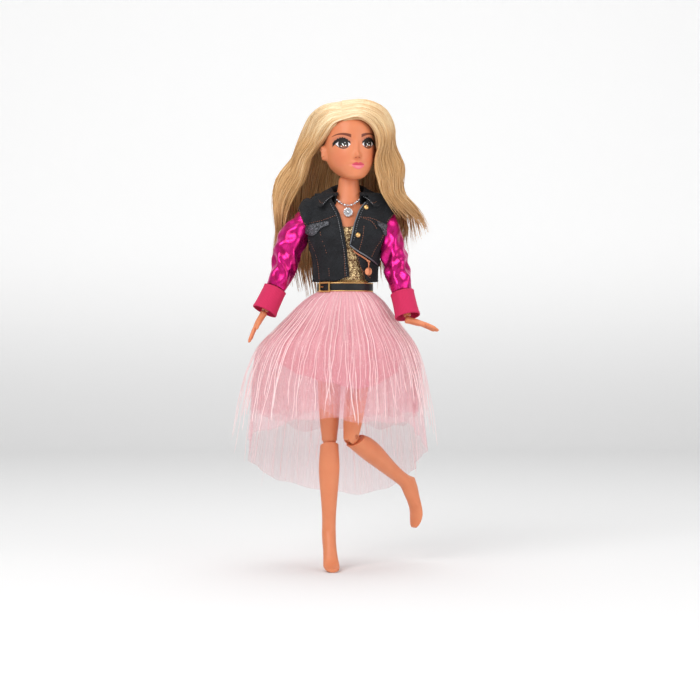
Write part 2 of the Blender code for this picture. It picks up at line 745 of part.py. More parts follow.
def head_ring(height_share, swell=0.0):
    """Returns one level ring of the head, with the relief of its face and ears."""
    width, front, back = row_at(HEAD_SHARES, height_share)
    half_width = width * HEAD_WIDTH + swell
    middle = (back - front) / 2 * HEAD_DEPTH
    depth = (back + front) / 2 * HEAD_DEPTH + swell
    points = []
    for i in range(HEAD_RING_SIDES):
        turn = math.tau * i / HEAD_RING_SIDES
        angle = turn - FACE_CROWDING_SHARE * math.sin(turn)
        across = math.copysign(abs(math.sin(angle)) ** HEAD_ROUNDNESS_SHARE, math.sin(angle))
        ahead = math.copysign(abs(math.cos(angle)) ** HEAD_ROUNDNESS_SHARE, math.cos(angle))
        x = half_width * across
        y = middle - depth * ahead
        if ahead > 0:
            for aside, up, reach, rise, relief in FACE_RELIEF_SHARES:
                near = ((x / HEAD_WIDTH - aside) / reach) ** 2 + ((height_share - up) / rise) ** 2
                y -= relief * HEAD_DEPTH * math.exp(-near)
        up, reach, rise, relief, set_back = EAR_SHARES
        near = ((height_share - up) / rise) ** 2 + (y / HEAD_DEPTH / reach - set_back) ** 2
        x += math.copysign(relief * HEAD_WIDTH * math.exp(-near), across)
        points.append(Vector((x, y, height_share * HEAD_HEIGHT)))
    return points


def build_head():
    """Makes the ball that nods on the neck, the head that turns on it, and the hair."""
    nod = empty("head_nod", None, (NECK_X, NECK_Y, NECK_BALL_Z), (0, HEAD_TILT, 0))
    knob_low = KNOB_HEIGHT - KNOB_THICKNESS
    stem_angle = math.asin(KNOB_STEM_RADIUS / NECK_BALL_RADIUS)
    profile = [(0, KNOB_HEIGHT), (KNOB_RADIUS, KNOB_HEIGHT), (KNOB_RADIUS, knob_low),
               (KNOB_STEM_RADIUS, knob_low), *ball(NECK_BALL_RADIUS, stem_angle)]
    turned("neck_ball", profile, SKIN, nod)
    turn = empty("head_turn", nod, (0, 0, 0), (0, 0, HEAD_TURN))
    seat = empty("head_seat", turn, (HEAD_X - NECK_X, -NECK_Y, CHIN_Z - NECK_BALL_Z))
    head = loft("head_shell", [head_ring(share) for share in evenly(0, 1, HEAD_RING_COUNT + 1)], SKIN, seat)
    wall = HEAD_SOCKET_RADIUS
    knob, stem = KNOB_RADIUS + RUNNING_GAP, KNOB_STEM_RADIUS + RUNNING_GAP
    top, low = KNOB_HEIGHT + RUNNING_GAP, knob_low - RUNNING_GAP
    chamber = [(0, top), (knob, top), (knob, low), (stem, low),
               *ball(wall, math.asin(stem / wall), math.pi / 2), (wall, -wall), (0, -wall)]
    shape_by(head, turned_cutter("head_socket", chamber, turn))
    build_hair(seat)


def build_hair(seat):
    """Makes the hair over the head and the long locks that hang from it."""
    rings = []
    for height, left, right, front, back in HAIR_CROWN_SHARES:
        points = []
        for i in range(HAIR_RING_SIDES):
            angle = math.tau * i / HAIR_RING_SIDES
            width = (left if math.sin(angle) > 0 else right) * HAIR_HALF_WIDTH
            depth = (front if math.cos(angle) > 0 else back) * HAIR_HALF_DEPTH
            points.append(Vector((width * math.sin(angle), -depth * math.cos(angle),
                                  height * HAIR_RISE)))
        rings.append(points)
    crown = loft("hair_crown", rings, HAIR, seat)
    skull = [head_ring(share, HAIR_SKIN_GAP) for share in evenly(0, 1, HEAD_RING_COUNT + 1)]
    skull[-1] = [point + Vector((0, 0, HAIR_SKIN_GAP)) for point in skull[-1]]
    lining = hide(loft("hair_lining", skull, None, seat, CUTTERS))
    shape_by(crown, lining)
    face = [(across * HAIRLINE_HALF_WIDTH, up * HAIRLINE_RISE) for across, up in FACE_OPENING_SHARES]
    depth = HEAD_DEPTH * FACE_OPENING_DEPTH_SHARE
    shape_by(crown, prism("face_opening", face, -CUT_REACH, -depth, seat, "Y"))
    start = HAIR_CROWN_SHARES[0][0] * HAIR_RISE - SEAT_GAP
    for name, rows in LOCK_SHARES.items():
        rings = []
        for drop, middle, width, thickness, depth in rows:
            centre = Vector((middle * HAIR_HALF_WIDTH, depth * HAIR_HALF_DEPTH, start - drop * HAIR_LENGTH))
            half = thickness * HAIR_THICKNESS
            rings.append(grooved(oval(centre, width * HAIR_HALF_WIDTH, half, half, LOCK_SIDES), centre, drop))
        shape_by(loft(name, rings, HAIR, seat), lining)


def grooved(ring, centre, drop):
    """Returns a lock's ring with the grooves between its tresses, which wind slowly down."""
    points = []
    for i, point in enumerate(ring):
        groove = (1 + math.cos(LOCK_GROOVES * math.tau * i / LOCK_SIDES + drop * math.pi)) / 2
        points.append(centre + (point - centre) * (1 - LOCK_GROOVE_SHARE * groove))
    return points


def peg_slot(name, ball_radius, neck_radius, parent, side):
    """Returns the cutters for a peg's ball and for the slot that its neck swings in."""
    cavity = turned_cutter(f"{name}_cavity", ball(ball_radius + SEAT_GAP), parent)
    half = neck_radius + RUNNING_GAP
    low, high = PEG_SLOT_LOW, PEG_SLOT_HIGH
    outline = [(half * math.sin(low), -half * math.cos(low))]
    for angle in evenly(low, high, 4):
        outline.append((PEG_SLOT_REACH * math.cos(angle), PEG_SLOT_REACH * math.sin(angle)))
    outline.append((-half * math.sin(high), half * math.cos(high)))
    return [cavity, prism(f"{name}_slot", [(-side * a, b) for a, b in outline], -half, half, parent, "Y")]


def hinge_end(item, name, parent, drop, radius, tongue, pin_radius, bends_back):
    """Slots the lower end of a limb for the next one's tongue, and pins it there."""
    half = tongue / 2 + RUNNING_GAP
    near = radius * TONGUE_RADIUS_SHARE + RUNNING_GAP
    reach = radius * HINGE_CUT_SHARE
    front, back = (-near, reach) if bends_back else (-reach, near)
    outline = rectangle(front, -drop - reach, back, -drop + near)
    shape_by(item, prism(f"{name}_slot", outline, -half, half, parent))
    bore = rod(pin_radius + SEAT_GAP, -reach, reach)
    shape_by(item, turned_cutter(f"{name}_bore", bore, parent, (0, 0, -drop), (0, math.pi / 2, 0)))
    pin = rod(pin_radius, -radius * PIN_LENGTH_SHARE, radius * PIN_LENGTH_SHARE)
    turned(f"{name.replace('_', '_pin_')}", pin, PEG, parent, (0, 0, -drop), (0, math.pi / 2, 0))


def tongue_top(item, name, parent, joint_radius, thickness, pin_radius):
    """Joins a tongue to the top of a limb, and bores it for the pin."""
    radius = joint_radius * TONGUE_RADIUS_SHARE
    blade = rod(radius, -thickness / 2, thickness / 2)
    disc = turned_cutter(f"{name}_disc", blade, parent, (0, 0, 0), (0, math.pi / 2, 0))
    shape_by(item, disc, "UNION")
    width, half = joint_radius * TONGUE_NECK_SHARE, thickness / 2 * TONGUE_NECK_THICKNESS_SHARE
    outline = rectangle(-width, -joint_radius * TONGUE_ROOT_SHARE, width, 0)
    shape_by(item, prism(f"{name}_neck", outline, -half, half, parent), "UNION")
    bore = rod(pin_radius + SEAT_GAP, -radius * HINGE_CUT_SHARE, radius * HINGE_CUT_SHARE)
    shape_by(item, turned_cutter(f"{name}_bore", bore, parent, (0, 0, 0), (0, math.pi / 2, 0)))


def build_arm(side):
    """Makes one arm, from the peg in the trunk to the hand, with its sleeve and cuff."""
    word = SIDES[side]
    swing = empty(f"shoulder_swing_{word}", None, shoulder(side), (-ARM_SWING[side], 0, 0))
    neck = math.asin(SHOULDER_PEG_RADIUS / SHOULDER_PEG_BALL_RADIUS)
    profile = [*ball(SHOULDER_PEG_BALL_RADIUS, 0, math.pi - neck),
               (SHOULDER_PEG_RADIUS, -SHOULDER_PEG_LENGTH), (0, -SHOULDER_PEG_LENGTH)]
    turned(f"shoulder_peg_{word}", profile, PEG, swing, (0, 0, 0), (0, side * math.pi / 2, 0))
    raised = empty(f"shoulder_raise_{word}", swing, (0, 0, 0), (0, -side * ARM_RAISE[side], 0))
    rings = dome(0, SHOULDER_BALL_RADIUS, math.radians(20), math.radians(95), JOINT_RINGS, ARM_RING_SIDES)
    for share, wide in UPPER_ARM_SHARES:
        rings.append(circle(-share * UPPER_ARM_LENGTH, UPPER_ARM_RADIUS * wide, ARM_RING_SIDES))
    rings += dome(-UPPER_ARM_LENGTH, ELBOW_RADIUS, math.radians(75), math.radians(160), JOINT_RINGS,
                  ARM_RING_SIDES)
    upper = loft(f"upper_arm_{word}", rings, SKIN, raised)
    for cutter in peg_slot(f"shoulder_{word}", SHOULDER_PEG_BALL_RADIUS, SHOULDER_PEG_RADIUS, raised, side):
        shape_by(upper, cutter)
    hinge_end(upper, f"elbow_{word}", raised, UPPER_ARM_LENGTH, ELBOW_RADIUS, ELBOW_TONGUE_THICKNESS,
              ELBOW_PIN_RADIUS, False)
    elbow = empty(f"elbow_{word}", raised, (0, 0, -UPPER_ARM_LENGTH), (-ELBOW_BEND[side], 0, 0))
    build_forearm(side, elbow)
    build_sleeve(side, raised, elbow)


def build_forearm(side, elbow):
    """Makes a forearm, the peg that turns in its end, and the hand."""
    word = SIDES[side]
    body_end = FOREARM_LENGTH - WRIST_DROP
    top = ELBOW_RADIUS + RUNNING_GAP
    rings = [circle(-top, FOREARM_RADIUS * FOREARM_TOP_SHARE, ARM_RING_SIDES)]
    for share, wide in FOREARM_SHARES:
        rings.append(circle(-max(share * body_end, top + SEAT_GAP), FOREARM_RADIUS * wide, ARM_RING_SIDES))
    rings.append(circle(-body_end, FOREARM_RADIUS * FOREARM_END_SHARE, ARM_RING_SIDES))
    arm = loft(f"forearm_{word}", rings, SKIN, elbow)
    tongue_top(arm, f"forearm_{word}", elbow, ELBOW_RADIUS, ELBOW_TONGUE_THICKNESS, ELBOW_PIN_RADIUS)
    bore = rod(WRIST_STEM_RADIUS + SEAT_GAP, -CUT_OVERRUN, WRIST_STEM_LENGTH - WRIST_DROP + SEAT_GAP)
    shape_by(arm, turned_cutter(f"wrist_bore_{word}", bore, elbow, (0, 0, -body_end)))
    turning = empty(f"wrist_turn_{word}", elbow, (0, 0, -FOREARM_LENGTH))
    stem = turned(f"wrist_peg_{word}", rod(WRIST_STEM_RADIUS, 0, WRIST_STEM_LENGTH), PEG, turning)
    blade = rod(WRIST_TONGUE_RADIUS, -WRIST_TONGUE_THICKNESS / 2, WRIST_TONGUE_THICKNESS / 2)
    disc = turned_cutter(f"wrist_disc_{word}", blade, turning, (0, 0, 0), (math.pi / 2, 0, 0))
    shape_by(stem, disc, "UNION")
    bend = empty(f"wrist_bend_{word}", turning, (0, 0, 0), (0, -side * WRIST_BEND[side], 0))
    build_hand(side, bend)


def digit(name, start, way, length, radius, parent):
    """Returns one tapered finger, to be joined to its palm."""
    across = way.cross(Vector((1, 0, 0))).normalized()
    other = way.cross(across).normalized()
    rings = []
    for share, wide in DIGIT_SHARES:
        centre = start + way * (share * length)
        ring = []
        for i in range(DIGIT_SIDES):
            angle = math.tau * i / DIGIT_SIDES
            ring.append(centre + (across * math.cos(angle) + other * math.sin(angle)) * radius * wide)
        rings.append(ring)
    return hide(loft(name, rings, None, parent, CUTTERS))


def build_hand(side, bend):
    """Makes a hand with its fingers together and its thumb along the palm's front."""
    word = SIDES[side]
    rings = dome(0, WRIST_RADIUS, math.radians(25), math.radians(100), 4, DIGIT_SIDES * 2)
    for share, wide, thick in PALM_SHARES:
        centre = Vector((0, 0, -WRIST_RADIUS * PALM_START_SHARE - share * PALM_LENGTH))
        half = PALM_WIDTH / 2 * wide
        rings.append(oval(centre, PALM_THICKNESS / 2 * thick, half, half, DIGIT_SIDES * 2))
    palm = loft(f"hand_{word}", rings, SKIN, bend)
    knuckles = -WRIST_RADIUS * PALM_START_SHARE - PALM_LENGTH * KNUCKLE_SHARE
    for number, (across, long, fan) in enumerate(FINGER_SHARES):
        start = Vector((0, across * PALM_WIDTH, knuckles))
        way = Vector((-side * FINGER_LEAN_SHARE, -fan, -1)).normalized()
        finger = digit(f"finger_{word}_{number}", start, way, FINGER_LENGTH * long, FINGER_RADIUS, bend)
        shape_by(palm, finger, "UNION")
    inward, ahead, down = THUMB_START_SHARES
    start = Vector((-side * PALM_THICKNESS * inward, PALM_WIDTH * ahead, PALM_LENGTH * down))
    inward, ahead, down = THUMB_WAY_SHARES
    way = Vector((-side * inward, ahead, down)).normalized()
    shape_by(palm, digit(f"thumb_{word}", start, way, THUMB_LENGTH, THUMB_RADIUS, bend), "UNION")
    half = WRIST_TONGUE_THICKNESS / 2 + SEAT_GAP
    outline = rectangle(-CUT_OVERRUN, -WRIST_TONGUE_RADIUS - SEAT_GAP, CUT_OVERRUN, CUT_OVERRUN)
    shape_by(palm, prism(f"wrist_slot_{word}", outline, -half, half, bend, "Y"))


def sleeve_ring(side, z, radius, outer, inner, drift):
    """Returns one ring of a sleeve, sloped outside and inside and gathered into soft creases."""
    points = []
    for i in range(SLEEVE_SIDES):
        angle = math.tau * i / SLEEVE_SIDES
        across = radius * (1 + SLEEVE_CREASE_SHARE * math.cos(SLEEVE_CREASES * angle + drift))
        x = across * math.sin(angle)
        rise = side * x * (outer if side * x > 0 else inner)
        points.append(Vector((x, -across * math.cos(angle), z + rise)))
    return points


def build_sleeve(side, raised, elbow):
    """Makes the satin sleeve over the upper arm and forearm, and the cuff at its end."""
    word = SIDES[side]
    for name, rows, length, parent in (("sleeve_upper", UPPER_SLEEVE_SHARES, UPPER_ARM_LENGTH, raised),
                                       ("sleeve_lower", LOWER_SLEEVE_SHARES, FOREARM_LENGTH, elbow)):
        rings = []
        for share, wide, outer, inner in rows:
            rings.append(sleeve_ring(side, -share * length, SLEEVE_RADIUS[side] * wide, outer, inner,
                                     share * CREASE_DRIFT_SHARE))
        sheet(f"{name}_{word}", rings, SLEEVE_THICKNESS, FOIL, parent, closed=True)
    rings = [circle(CUFF_LENGTH - CUFF_END, CUFF_TOP_RADIUS, SLEEVE_SIDES),
             circle(-CUFF_END, CUFF_HEM_RADIUS, SLEEVE_SIDES)]
    sheet(f"cuff_{word}", rings, SLEEVE_THICKNESS, CUFF, elbow, closed=True)


def build_leg(side):
    """Makes one leg, from the peg in the trunk to the arched foot."""
    word = SIDES[side]
    swing = empty(f"hip_swing_{word}", None, hip(side), (-HIP_SWING[side], 0, 0))
    step = HIP_SPAN / 2 - CROTCH_HALF_THICKNESS - RUNNING_GAP
    end = HIP_SPAN / 2 - CROTCH_HALF_THICKNESS + HIP_STUB_LENGTH
    neck = math.asin(HIP_PEG_RADIUS / HIP_PEG_BALL_RADIUS)
    profile = [*ball(HIP_PEG_BALL_RADIUS, 0, math.pi - neck), (HIP_PEG_RADIUS, -step),
               (HIP_STUB_RADIUS, -step), (HIP_STUB_RADIUS, -end), (0, -end)]
    turned(f"hip_peg_{word}", profile, PEG, swing, (0, 0, 0), (0, side * math.pi / 2, 0))
    spread = empty(f"hip_spread_{word}", swing, (0, 0, 0), (0, -side * HIP_SPREAD[side], 0))
    rings = dome(0, HIP_BALL_RADIUS, math.radians(18), math.radians(90), JOINT_RINGS, LEG_RING_SIDES)
    rings.append(circle(-HIP_CAP_LENGTH / 2, (THIGH_RADIUS + HIP_BALL_RADIUS) / 2, LEG_RING_SIDES))
    rings.append(circle(-HIP_CAP_LENGTH + SEAT_GAP, THIGH_RADIUS, LEG_RING_SIDES))
    cap = loft(f"hip_cap_{word}", rings, SKIN, spread)
    for cutter in peg_slot(f"hip_{word}", HIP_PEG_BALL_RADIUS, HIP_PEG_RADIUS, spread, side):
        shape_by(cap, cutter)
    post_top = -HIP_CAP_LENGTH + THIGH_POST_LENGTH
    bore = rod(THIGH_POST_RADIUS + SEAT_GAP, -HIP_CAP_LENGTH - CUT_OVERRUN, post_top + SEAT_GAP)
    shape_by(cap, turned_cutter(f"thigh_bore_{word}", bore, spread))
    turn = empty(f"thigh_turn_{word}", spread, (0, 0, 0), (0, 0, -side * THIGH_TURN[side]))
    build_thigh(side, turn, post_top)
    knee = empty(f"knee_{word}", turn, (0, 0, -THIGH_LENGTH), (KNEE_BEND[side], 0, 0))
    build_shin(side, knee)


def build_thigh(side, turn, post_top):
    """Makes a thigh, with the post that turns in the hip and the fork of the knee."""
    word = SIDES[side]
    rings = [circle(-HIP_CAP_LENGTH, THIGH_RADIUS, LEG_RING_SIDES)]
    for share, wide in THIGH_SHARES:
        rings.append(circle(-share * THIGH_LENGTH, THIGH_RADIUS * wide, LEG_RING_SIDES))
    rings += dome(-THIGH_LENGTH, KNEE_RADIUS, math.radians(80), math.radians(160), JOINT_RINGS,
                  LEG_RING_SIDES)
    thigh = loft(f"thigh_{word}", rings, SKIN, turn)
    post = rod(THIGH_POST_RADIUS, -HIP_CAP_LENGTH * THIGH_POST_ROOT_SHARE, post_top)
    shape_by(thigh, turned_cutter(f"thigh_post_{word}", post, turn), "UNION")
    hinge_end(thigh, f"knee_{word}", turn, THIGH_LENGTH, KNEE_RADIUS, KNEE_TONGUE_THICKNESS,
              KNEE_PIN_RADIUS, True)


def build_shin(side, knee):
    """Makes a shin with its calf and its foot, arched for high heels, in one piece."""
    word = SIDES[side]
    rings = []
    for share, width, front, back, slope in SHIN_SHARES:
        rings.append(oval(Vector((0, 0, -share * SHIN_LENGTH)), width * CALF_RADIUS,
                          front * CALF_RADIUS, back * CALF_RADIUS, LEG_RING_SIDES, slope))
    for forward, down, width, thickness, pitch in FOOT_SHARES:
        centre = Vector((0, -forward * FOOT_LENGTH, -SHIN_LENGTH - down * FOOT_DROP))
        half = FOOT_WIDTH * thickness
        tilt = Matrix.Rotation(-pitch * math.pi / 2, 3, "X")
        flat = oval(Vector(), FOOT_WIDTH * width, half, half, LEG_RING_SIDES)
        rings.append([centre + tilt @ point for point in flat])
    shin = loft(f"shin_{word}", rings, SKIN, knee)
    sole = -SHIN_LENGTH - FOOT_DROP
    outline = rectangle(-CUT_REACH, sole - CUT_REACH, CUT_REACH, sole)
    shape_by(shin, prism(f"sole_cut_{word}", outline, -CUT_REACH, CUT_REACH, knee))
    shape_by(shin, turned_cutter(f"shin_cup_{word}", ball(KNEE_RADIUS + RUNNING_GAP), knee))
    tongue_top(shin, f"shin_{word}", knee, KNEE_RADIUS, KNEE_TONGUE_THICKNESS, KNEE_PIN_RADIUS)


def jacket_height(share):
    """Returns a height from its share of the jacket."""
    return JACKET_HEM_Z + (JACKET_NECK_Z - JACKET_HEM_Z) * share


def jacket_point(across_share, z, ease, behind=False):
    """Returns a point of the jacket at a share of its half width, in front or behind."""
    share = (z - JACKET_HEM_Z) / (JACKET_NECK_Z - JACKET_HEM_Z)
    half_width = row_at(JACKET_WIDTH_SHARES, share)[0] * JACKET_HALF_WIDTH + ease
    middle, _, front, back = torso_row(z)
    depth = (back if behind else front) + JACKET_EASE + ease
    bulge = math.sqrt(max(1 - across_share**2, 0))
    return Vector((middle + half_width * across_share, depth * bulge * (1 if behind else -1), z))


def across_evenly(start_share, end_share, count):
    """Returns shares across the jacket that lie evenly round its curve."""
    return [math.sin(turn) for turn in evenly(math.asin(start_share), math.asin(end_share), count)]


def jacket_patch(name, low_share, high_share, start_edge, end_edge, ease, row_count=PANEL_ROWS):
    """Returns the points of a panel between two edges, each a table of place by height."""
    rows = []
    for share in evenly(high_share, low_share, row_count):
        start, end = row_at(start_edge, share)[0], row_at(end_edge, share)[0]
        rows.append([jacket_point(across, jacket_height(share), ease)
                     for across in across_evenly(start, end, PANEL_COLUMNS)])
    return rows


def armhole(side):
    """Returns the cutter that clears a sleeve from the jacket."""
    word = SIDES[side]
    radius = SLEEVE_RADIUS[side] * ARMHOLE_SHARE + SLEEVE_THICKNESS + RUNNING_GAP
    cap = ball(SHOULDER_BALL_RADIUS + RUNNING_GAP, 0, ARMHOLE_DOME, 4)
    profile = [*cap, (radius, cap[-1][1]), (radius, -ARMHOLE_DEPTH), (0, -ARMHOLE_DEPTH)]
    return turned_cutter(f"armhole_{word}", profile, bpy.data.objects[f"shoulder_raise_{word}"])


def build_top():
    """Makes the strapless glitter top under the jacket."""
    heights = [row[0] * TORSO_HEIGHT for row in reversed(TORSO_SHARES)]
    inner = [z for z in heights if TOP_LOWER_Z + TOP_ROW_GAP < z < TOP_UPPER_Z - TOP_ROW_GAP]
    rows = []
    for z in (TOP_UPPER_Z, *inner, TOP_LOWER_Z):
        middle, width, front, back = torso_row(z)
        rows.append(oval(Vector((middle, 0, z)), width + TOP_EASE, front + TOP_EASE, back + TOP_EASE,
                         TORSO_HALF_POINTS * 2 - 2))
    sheet("glitter_top", rows, TOP_THICKNESS, GLITTER, closed=True)


def build_jacket():
    """Makes the cropped denim jacket with its panels, collar, flaps, buttons and zip."""
    over = DENIM_THICKNESS + OVERLAP_GAP
    on_top = DENIM_THICKNESS + SEAT_GAP
    edge = math.acos(SIDE_SEAM_SHARE)
    back = []
    for share in evenly(1, 0, JACKET_ROWS):
        back.append([jacket_point(math.cos(angle), jacket_height(share), 0, math.sin(angle) > 0)
                     for angle in evenly(-edge, math.pi + edge, JACKET_COLUMNS)])
    right = jacket_patch("right", 0, PANEL_TOP_SHARE, RIGHT_SIDE_EDGE_SHARES, RIGHT_FRONT_EDGE_SHARES, 0)
    under = jacket_patch("under", 0, UNDERLAP_TOP_SHARE, UNDERLAP_EDGE_SHARES, SIDE_EDGE_SHARES, 0)
    cloth = [
        sheet("jacket_back", back, DENIM_THICKNESS, DENIM),
        sheet("jacket_front_right", right, DENIM_THICKNESS, DENIM),
        sheet("jacket_front_left", left_panel_rows(over), DENIM_THICKNESS, DENIM),
        sheet("jacket_underlap", under, DENIM_THICKNESS, DENIM),
    ]
    for word, edges, ease in (("right", RIGHT_FLAP_EDGE_SHARES, on_top),
                              ("left", LEFT_FLAP_EDGE_SHARES, over + on_top)):
        rows = jacket_patch(word, *FLAP_HEIGHT_SHARES, *edges, ease, FLAP_ROWS)
        cloth.append(sheet(f"pocket_flap_{word}", rows, FLAP_THICKNESS, FLAP))
    for side in SIDES:
        hole = armhole(side)
        for piece in cloth:
            shape_by(piece, hole)
    build_collar()
    build_buttons(over + on_top)
    build_zip(on_top)


def left_panel_rows(ease):
    """Returns the points of the overlapping left panel, cut off along a slanting foot."""
    side_edge = SIDE_EDGE_SHARES[0][1]
    feet = [row_at(LEFT_FOOT_SHARES, across)[0]
            for across in across_evenly(LEFT_FOOT_SHARES[0][0], side_edge, PANEL_COLUMNS)]
    rows = []
    for down in evenly(0, 1, PANEL_ROWS):
        row = []
        for number, foot in enumerate(feet):
            share = PANEL_TOP_SHARE + (foot - PANEL_TOP_SHARE) * down
            start = row_at(LEFT_FRONT_EDGE_SHARES, share)[0]
            across = across_evenly(start, side_edge, PANEL_COLUMNS)[number]
            row.append(jacket_point(across, jacket_height(share), ease))
        rows.append(row)
    return rows


def build_collar():
    """Makes the folded collar that stands round the neck and opens in front."""
    middle = torso_row(JACKET_NECK_Z)[0]
    rows = []
    for rise, out in COLLAR_SHARES:
        row = []
        for angle in evenly(COLLAR_OPENING, math.tau - COLLAR_OPENING, COLLAR_COLUMNS):
            radius = COLLAR_RADIUS * out
            dip = COLLAR_DIP * (1 + math.cos(angle)) / 2
            row.append(Vector((middle + radius * math.sin(angle) * COLLAR_BREADTH_SHARE,
                               NECK_Y - radius * math.cos(angle),
                               JACKET_NECK_Z + COLLAR_LIFT + rise * COLLAR_RISE - dip)))
        rows.append(row)
    sheet("jacket_collar", rows, DENIM_THICKNESS, DENIM)


def jacket_frame(across_share, z, ease):
    """Returns where something sits on the jacket's front, and the rotation that faces it out."""
    point = jacket_point(across_share, z, ease)
    right = jacket_point(across_share + FRAME_STEP_SHARE, z, ease) - point
    up = jacket_point(across_share, z + JACKET_HALF_WIDTH * FRAME_STEP_SHARE, ease) - point
    return point, right.cross(up).normalized().to_track_quat("Z", "Y").to_euler()


def build_buttons(ease):
    """Makes the domed buttons at the edge of the left panel."""
    profile = [(BUTTON_RADIUS * math.sin(a), BUTTON_HEIGHT * math.cos(a))
               for a in evenly(0, math.pi / 2, BUTTON_STEPS)] + [(0, 0)]
    for number, (across, share) in enumerate(BUTTON_PLACE_SHARES, start=1):
        point, turn = jacket_frame(across, jacket_height(share), ease)
        turned(f"jacket_button_{number}", profile, GOLD, None, point, turn)


def build_zip(ease):
    """Makes the copper zip under the slanting edge, with the round puller that hangs on it."""
    drop = ZIP_WIDTH / (JACKET_NECK_Z - JACKET_HEM_Z)
    rows = []
    for down in (ZIP_START_SHARE, ZIP_START_SHARE + 1):
        row = []
        for across in evenly(*ZIP_ACROSS_SHARES, ZIP_POINTS):
            share = row_at(LEFT_FOOT_SHARES, across)[0] - down * drop
            row.append(jacket_point(across, jacket_height(share), ease))
        rows.append(row)
    sheet("jacket_zip", rows, ZIP_THICKNESS, COPPER)
    across = ZIP_ACROSS_SHARES[1] + PULLER_SHIFT_SHARE
    share = row_at(LEFT_FOOT_SHARES, across)[0] - PULLER_DROP_SHARE
    point, turn = jacket_frame(across, jacket_height(share), ease)
    turned("zip_puller", rod(PULLER_RADIUS, 0, PULLER_THICKNESS), COPPER, None, point, turn)


def belt_point(angle, z, ease):
    """Returns a point on the belt's inner face, moved out by the ease."""
    return Vector(((BELT_HALF_WIDTH + ease) * math.sin(angle),
                   -(BELT_HALF_DEPTH + ease) * math.cos(angle), z))


def build_belt():
    """Makes the belt and its open rectangular buckle."""
    rows = []
    for z in (BELT_HEIGHT / 2, -BELT_HEIGHT / 2):
        rows.append([belt_point(math.tau * i / BELT_SIDES, z, 0) for i in range(BELT_SIDES)])
    sheet("belt", rows, BELT_THICKNESS, BELT, closed=True)
    angle = -math.asin(BUCKLE_PLACE_SHARE)
    seat = belt_point(angle, 0, BELT_THICKNESS + SEAT_GAP + BUCKLE_WIRE / 2)
    carrier = empty("buckle_seat", None, seat, (0, 0, angle * BUCKLE_TURN_SHARE))
    half_width, half_height, half = BUCKLE_WIDTH / 2, BUCKLE_HEIGHT / 2, BUCKLE_WIRE / 2
    outer = rectangle(-half_width, -half_height, half_width, half_height)
    rings = [[Vector((a, level, b)) for a, b in outer] for level in (-half, half)]
    buckle = loft("belt_buckle", rings, GOLD, carrier)
    inner = [(a - math.copysign(BUCKLE_WIRE, a), b - math.copysign(BUCKLE_WIRE, b)) for a, b in outer]
    shape_by(buckle, prism("buckle_window", inner, -CUT_OVERRUN, CUT_OVERRUN, carrier, "Y"))
    bevel = buckle.modifiers.new("Rounded", "BEVEL")
    bevel.width = BUCKLE_WIRE / 4
    bevel.segments = 1


def skirt_point(angle, share, layer):
    """Returns a point of a skirt layer, down from the waist and round from the front."""
    behind = (1 - math.cos(angle)) / 2
    drop = (layer.drop + layer.train * behind**TRAIN_CURVE_SHARE) * share
    lean = 1 - SKIRT_LEAN_SHARE * math.sin(angle)
    spread = layer.flare * row_at(SKIRT_SHARES, drop / TULLE_DROP)[0] * lean
    fold = layer.fold_depth * share * math.cos(layer.folds * angle)
    depth_share = FRONT_FLARE_SHARE + (BACK_FLARE_SHARE - FRONT_FLARE_SHARE) * behind
    width = SKIRT_WAIST_HALF_WIDTH - layer.inset + spread + fold
    depth = SKIRT_WAIST_HALF_DEPTH - layer.inset + spread * depth_share + fold
    return Vector((width * math.sin(angle), -depth * math.cos(angle), SKIRT_TOP_Z - drop))


def build_skirt():
    """Makes the skirt's waistband, its satin lining and the tulle with its longer back."""
    half_width = BELT_HALF_WIDTH - WAISTBAND_THICKNESS - RUNNING_GAP
    half_depth = BELT_HALF_DEPTH - WAISTBAND_THICKNESS - RUNNING_GAP
    band = [oval(Vector((0, 0, z)), half_width, half_depth, half_depth, BELT_SIDES)
            for z in (BELT_HEIGHT / 2 - SEAT_GAP, SKIRT_TOP_Z + WAIST_SEAM_GAP)]
    sheet("skirt_waistband", band, WAISTBAND_THICKNESS, SATIN, closed=True)
    for side, word in SIDES.items():
        for name, layer, look in (("skirt_lining", LINING, SATIN), ("skirt_tulle", TULLE, NET)):
            rows = []
            for share in evenly(0, 1, layer.rows):
                gap = GORE_GAP / 2 / abs(skirt_point(0, share, layer).y)
                turns = evenly(gap, math.pi - gap, layer.columns)
                angles = turns if side > 0 else [-turn for turn in reversed(turns)]
                rows.append([skirt_point(angle, share, layer) for angle in angles])
            sheet(f"{name}_{word}", rows, layer.thickness, look)


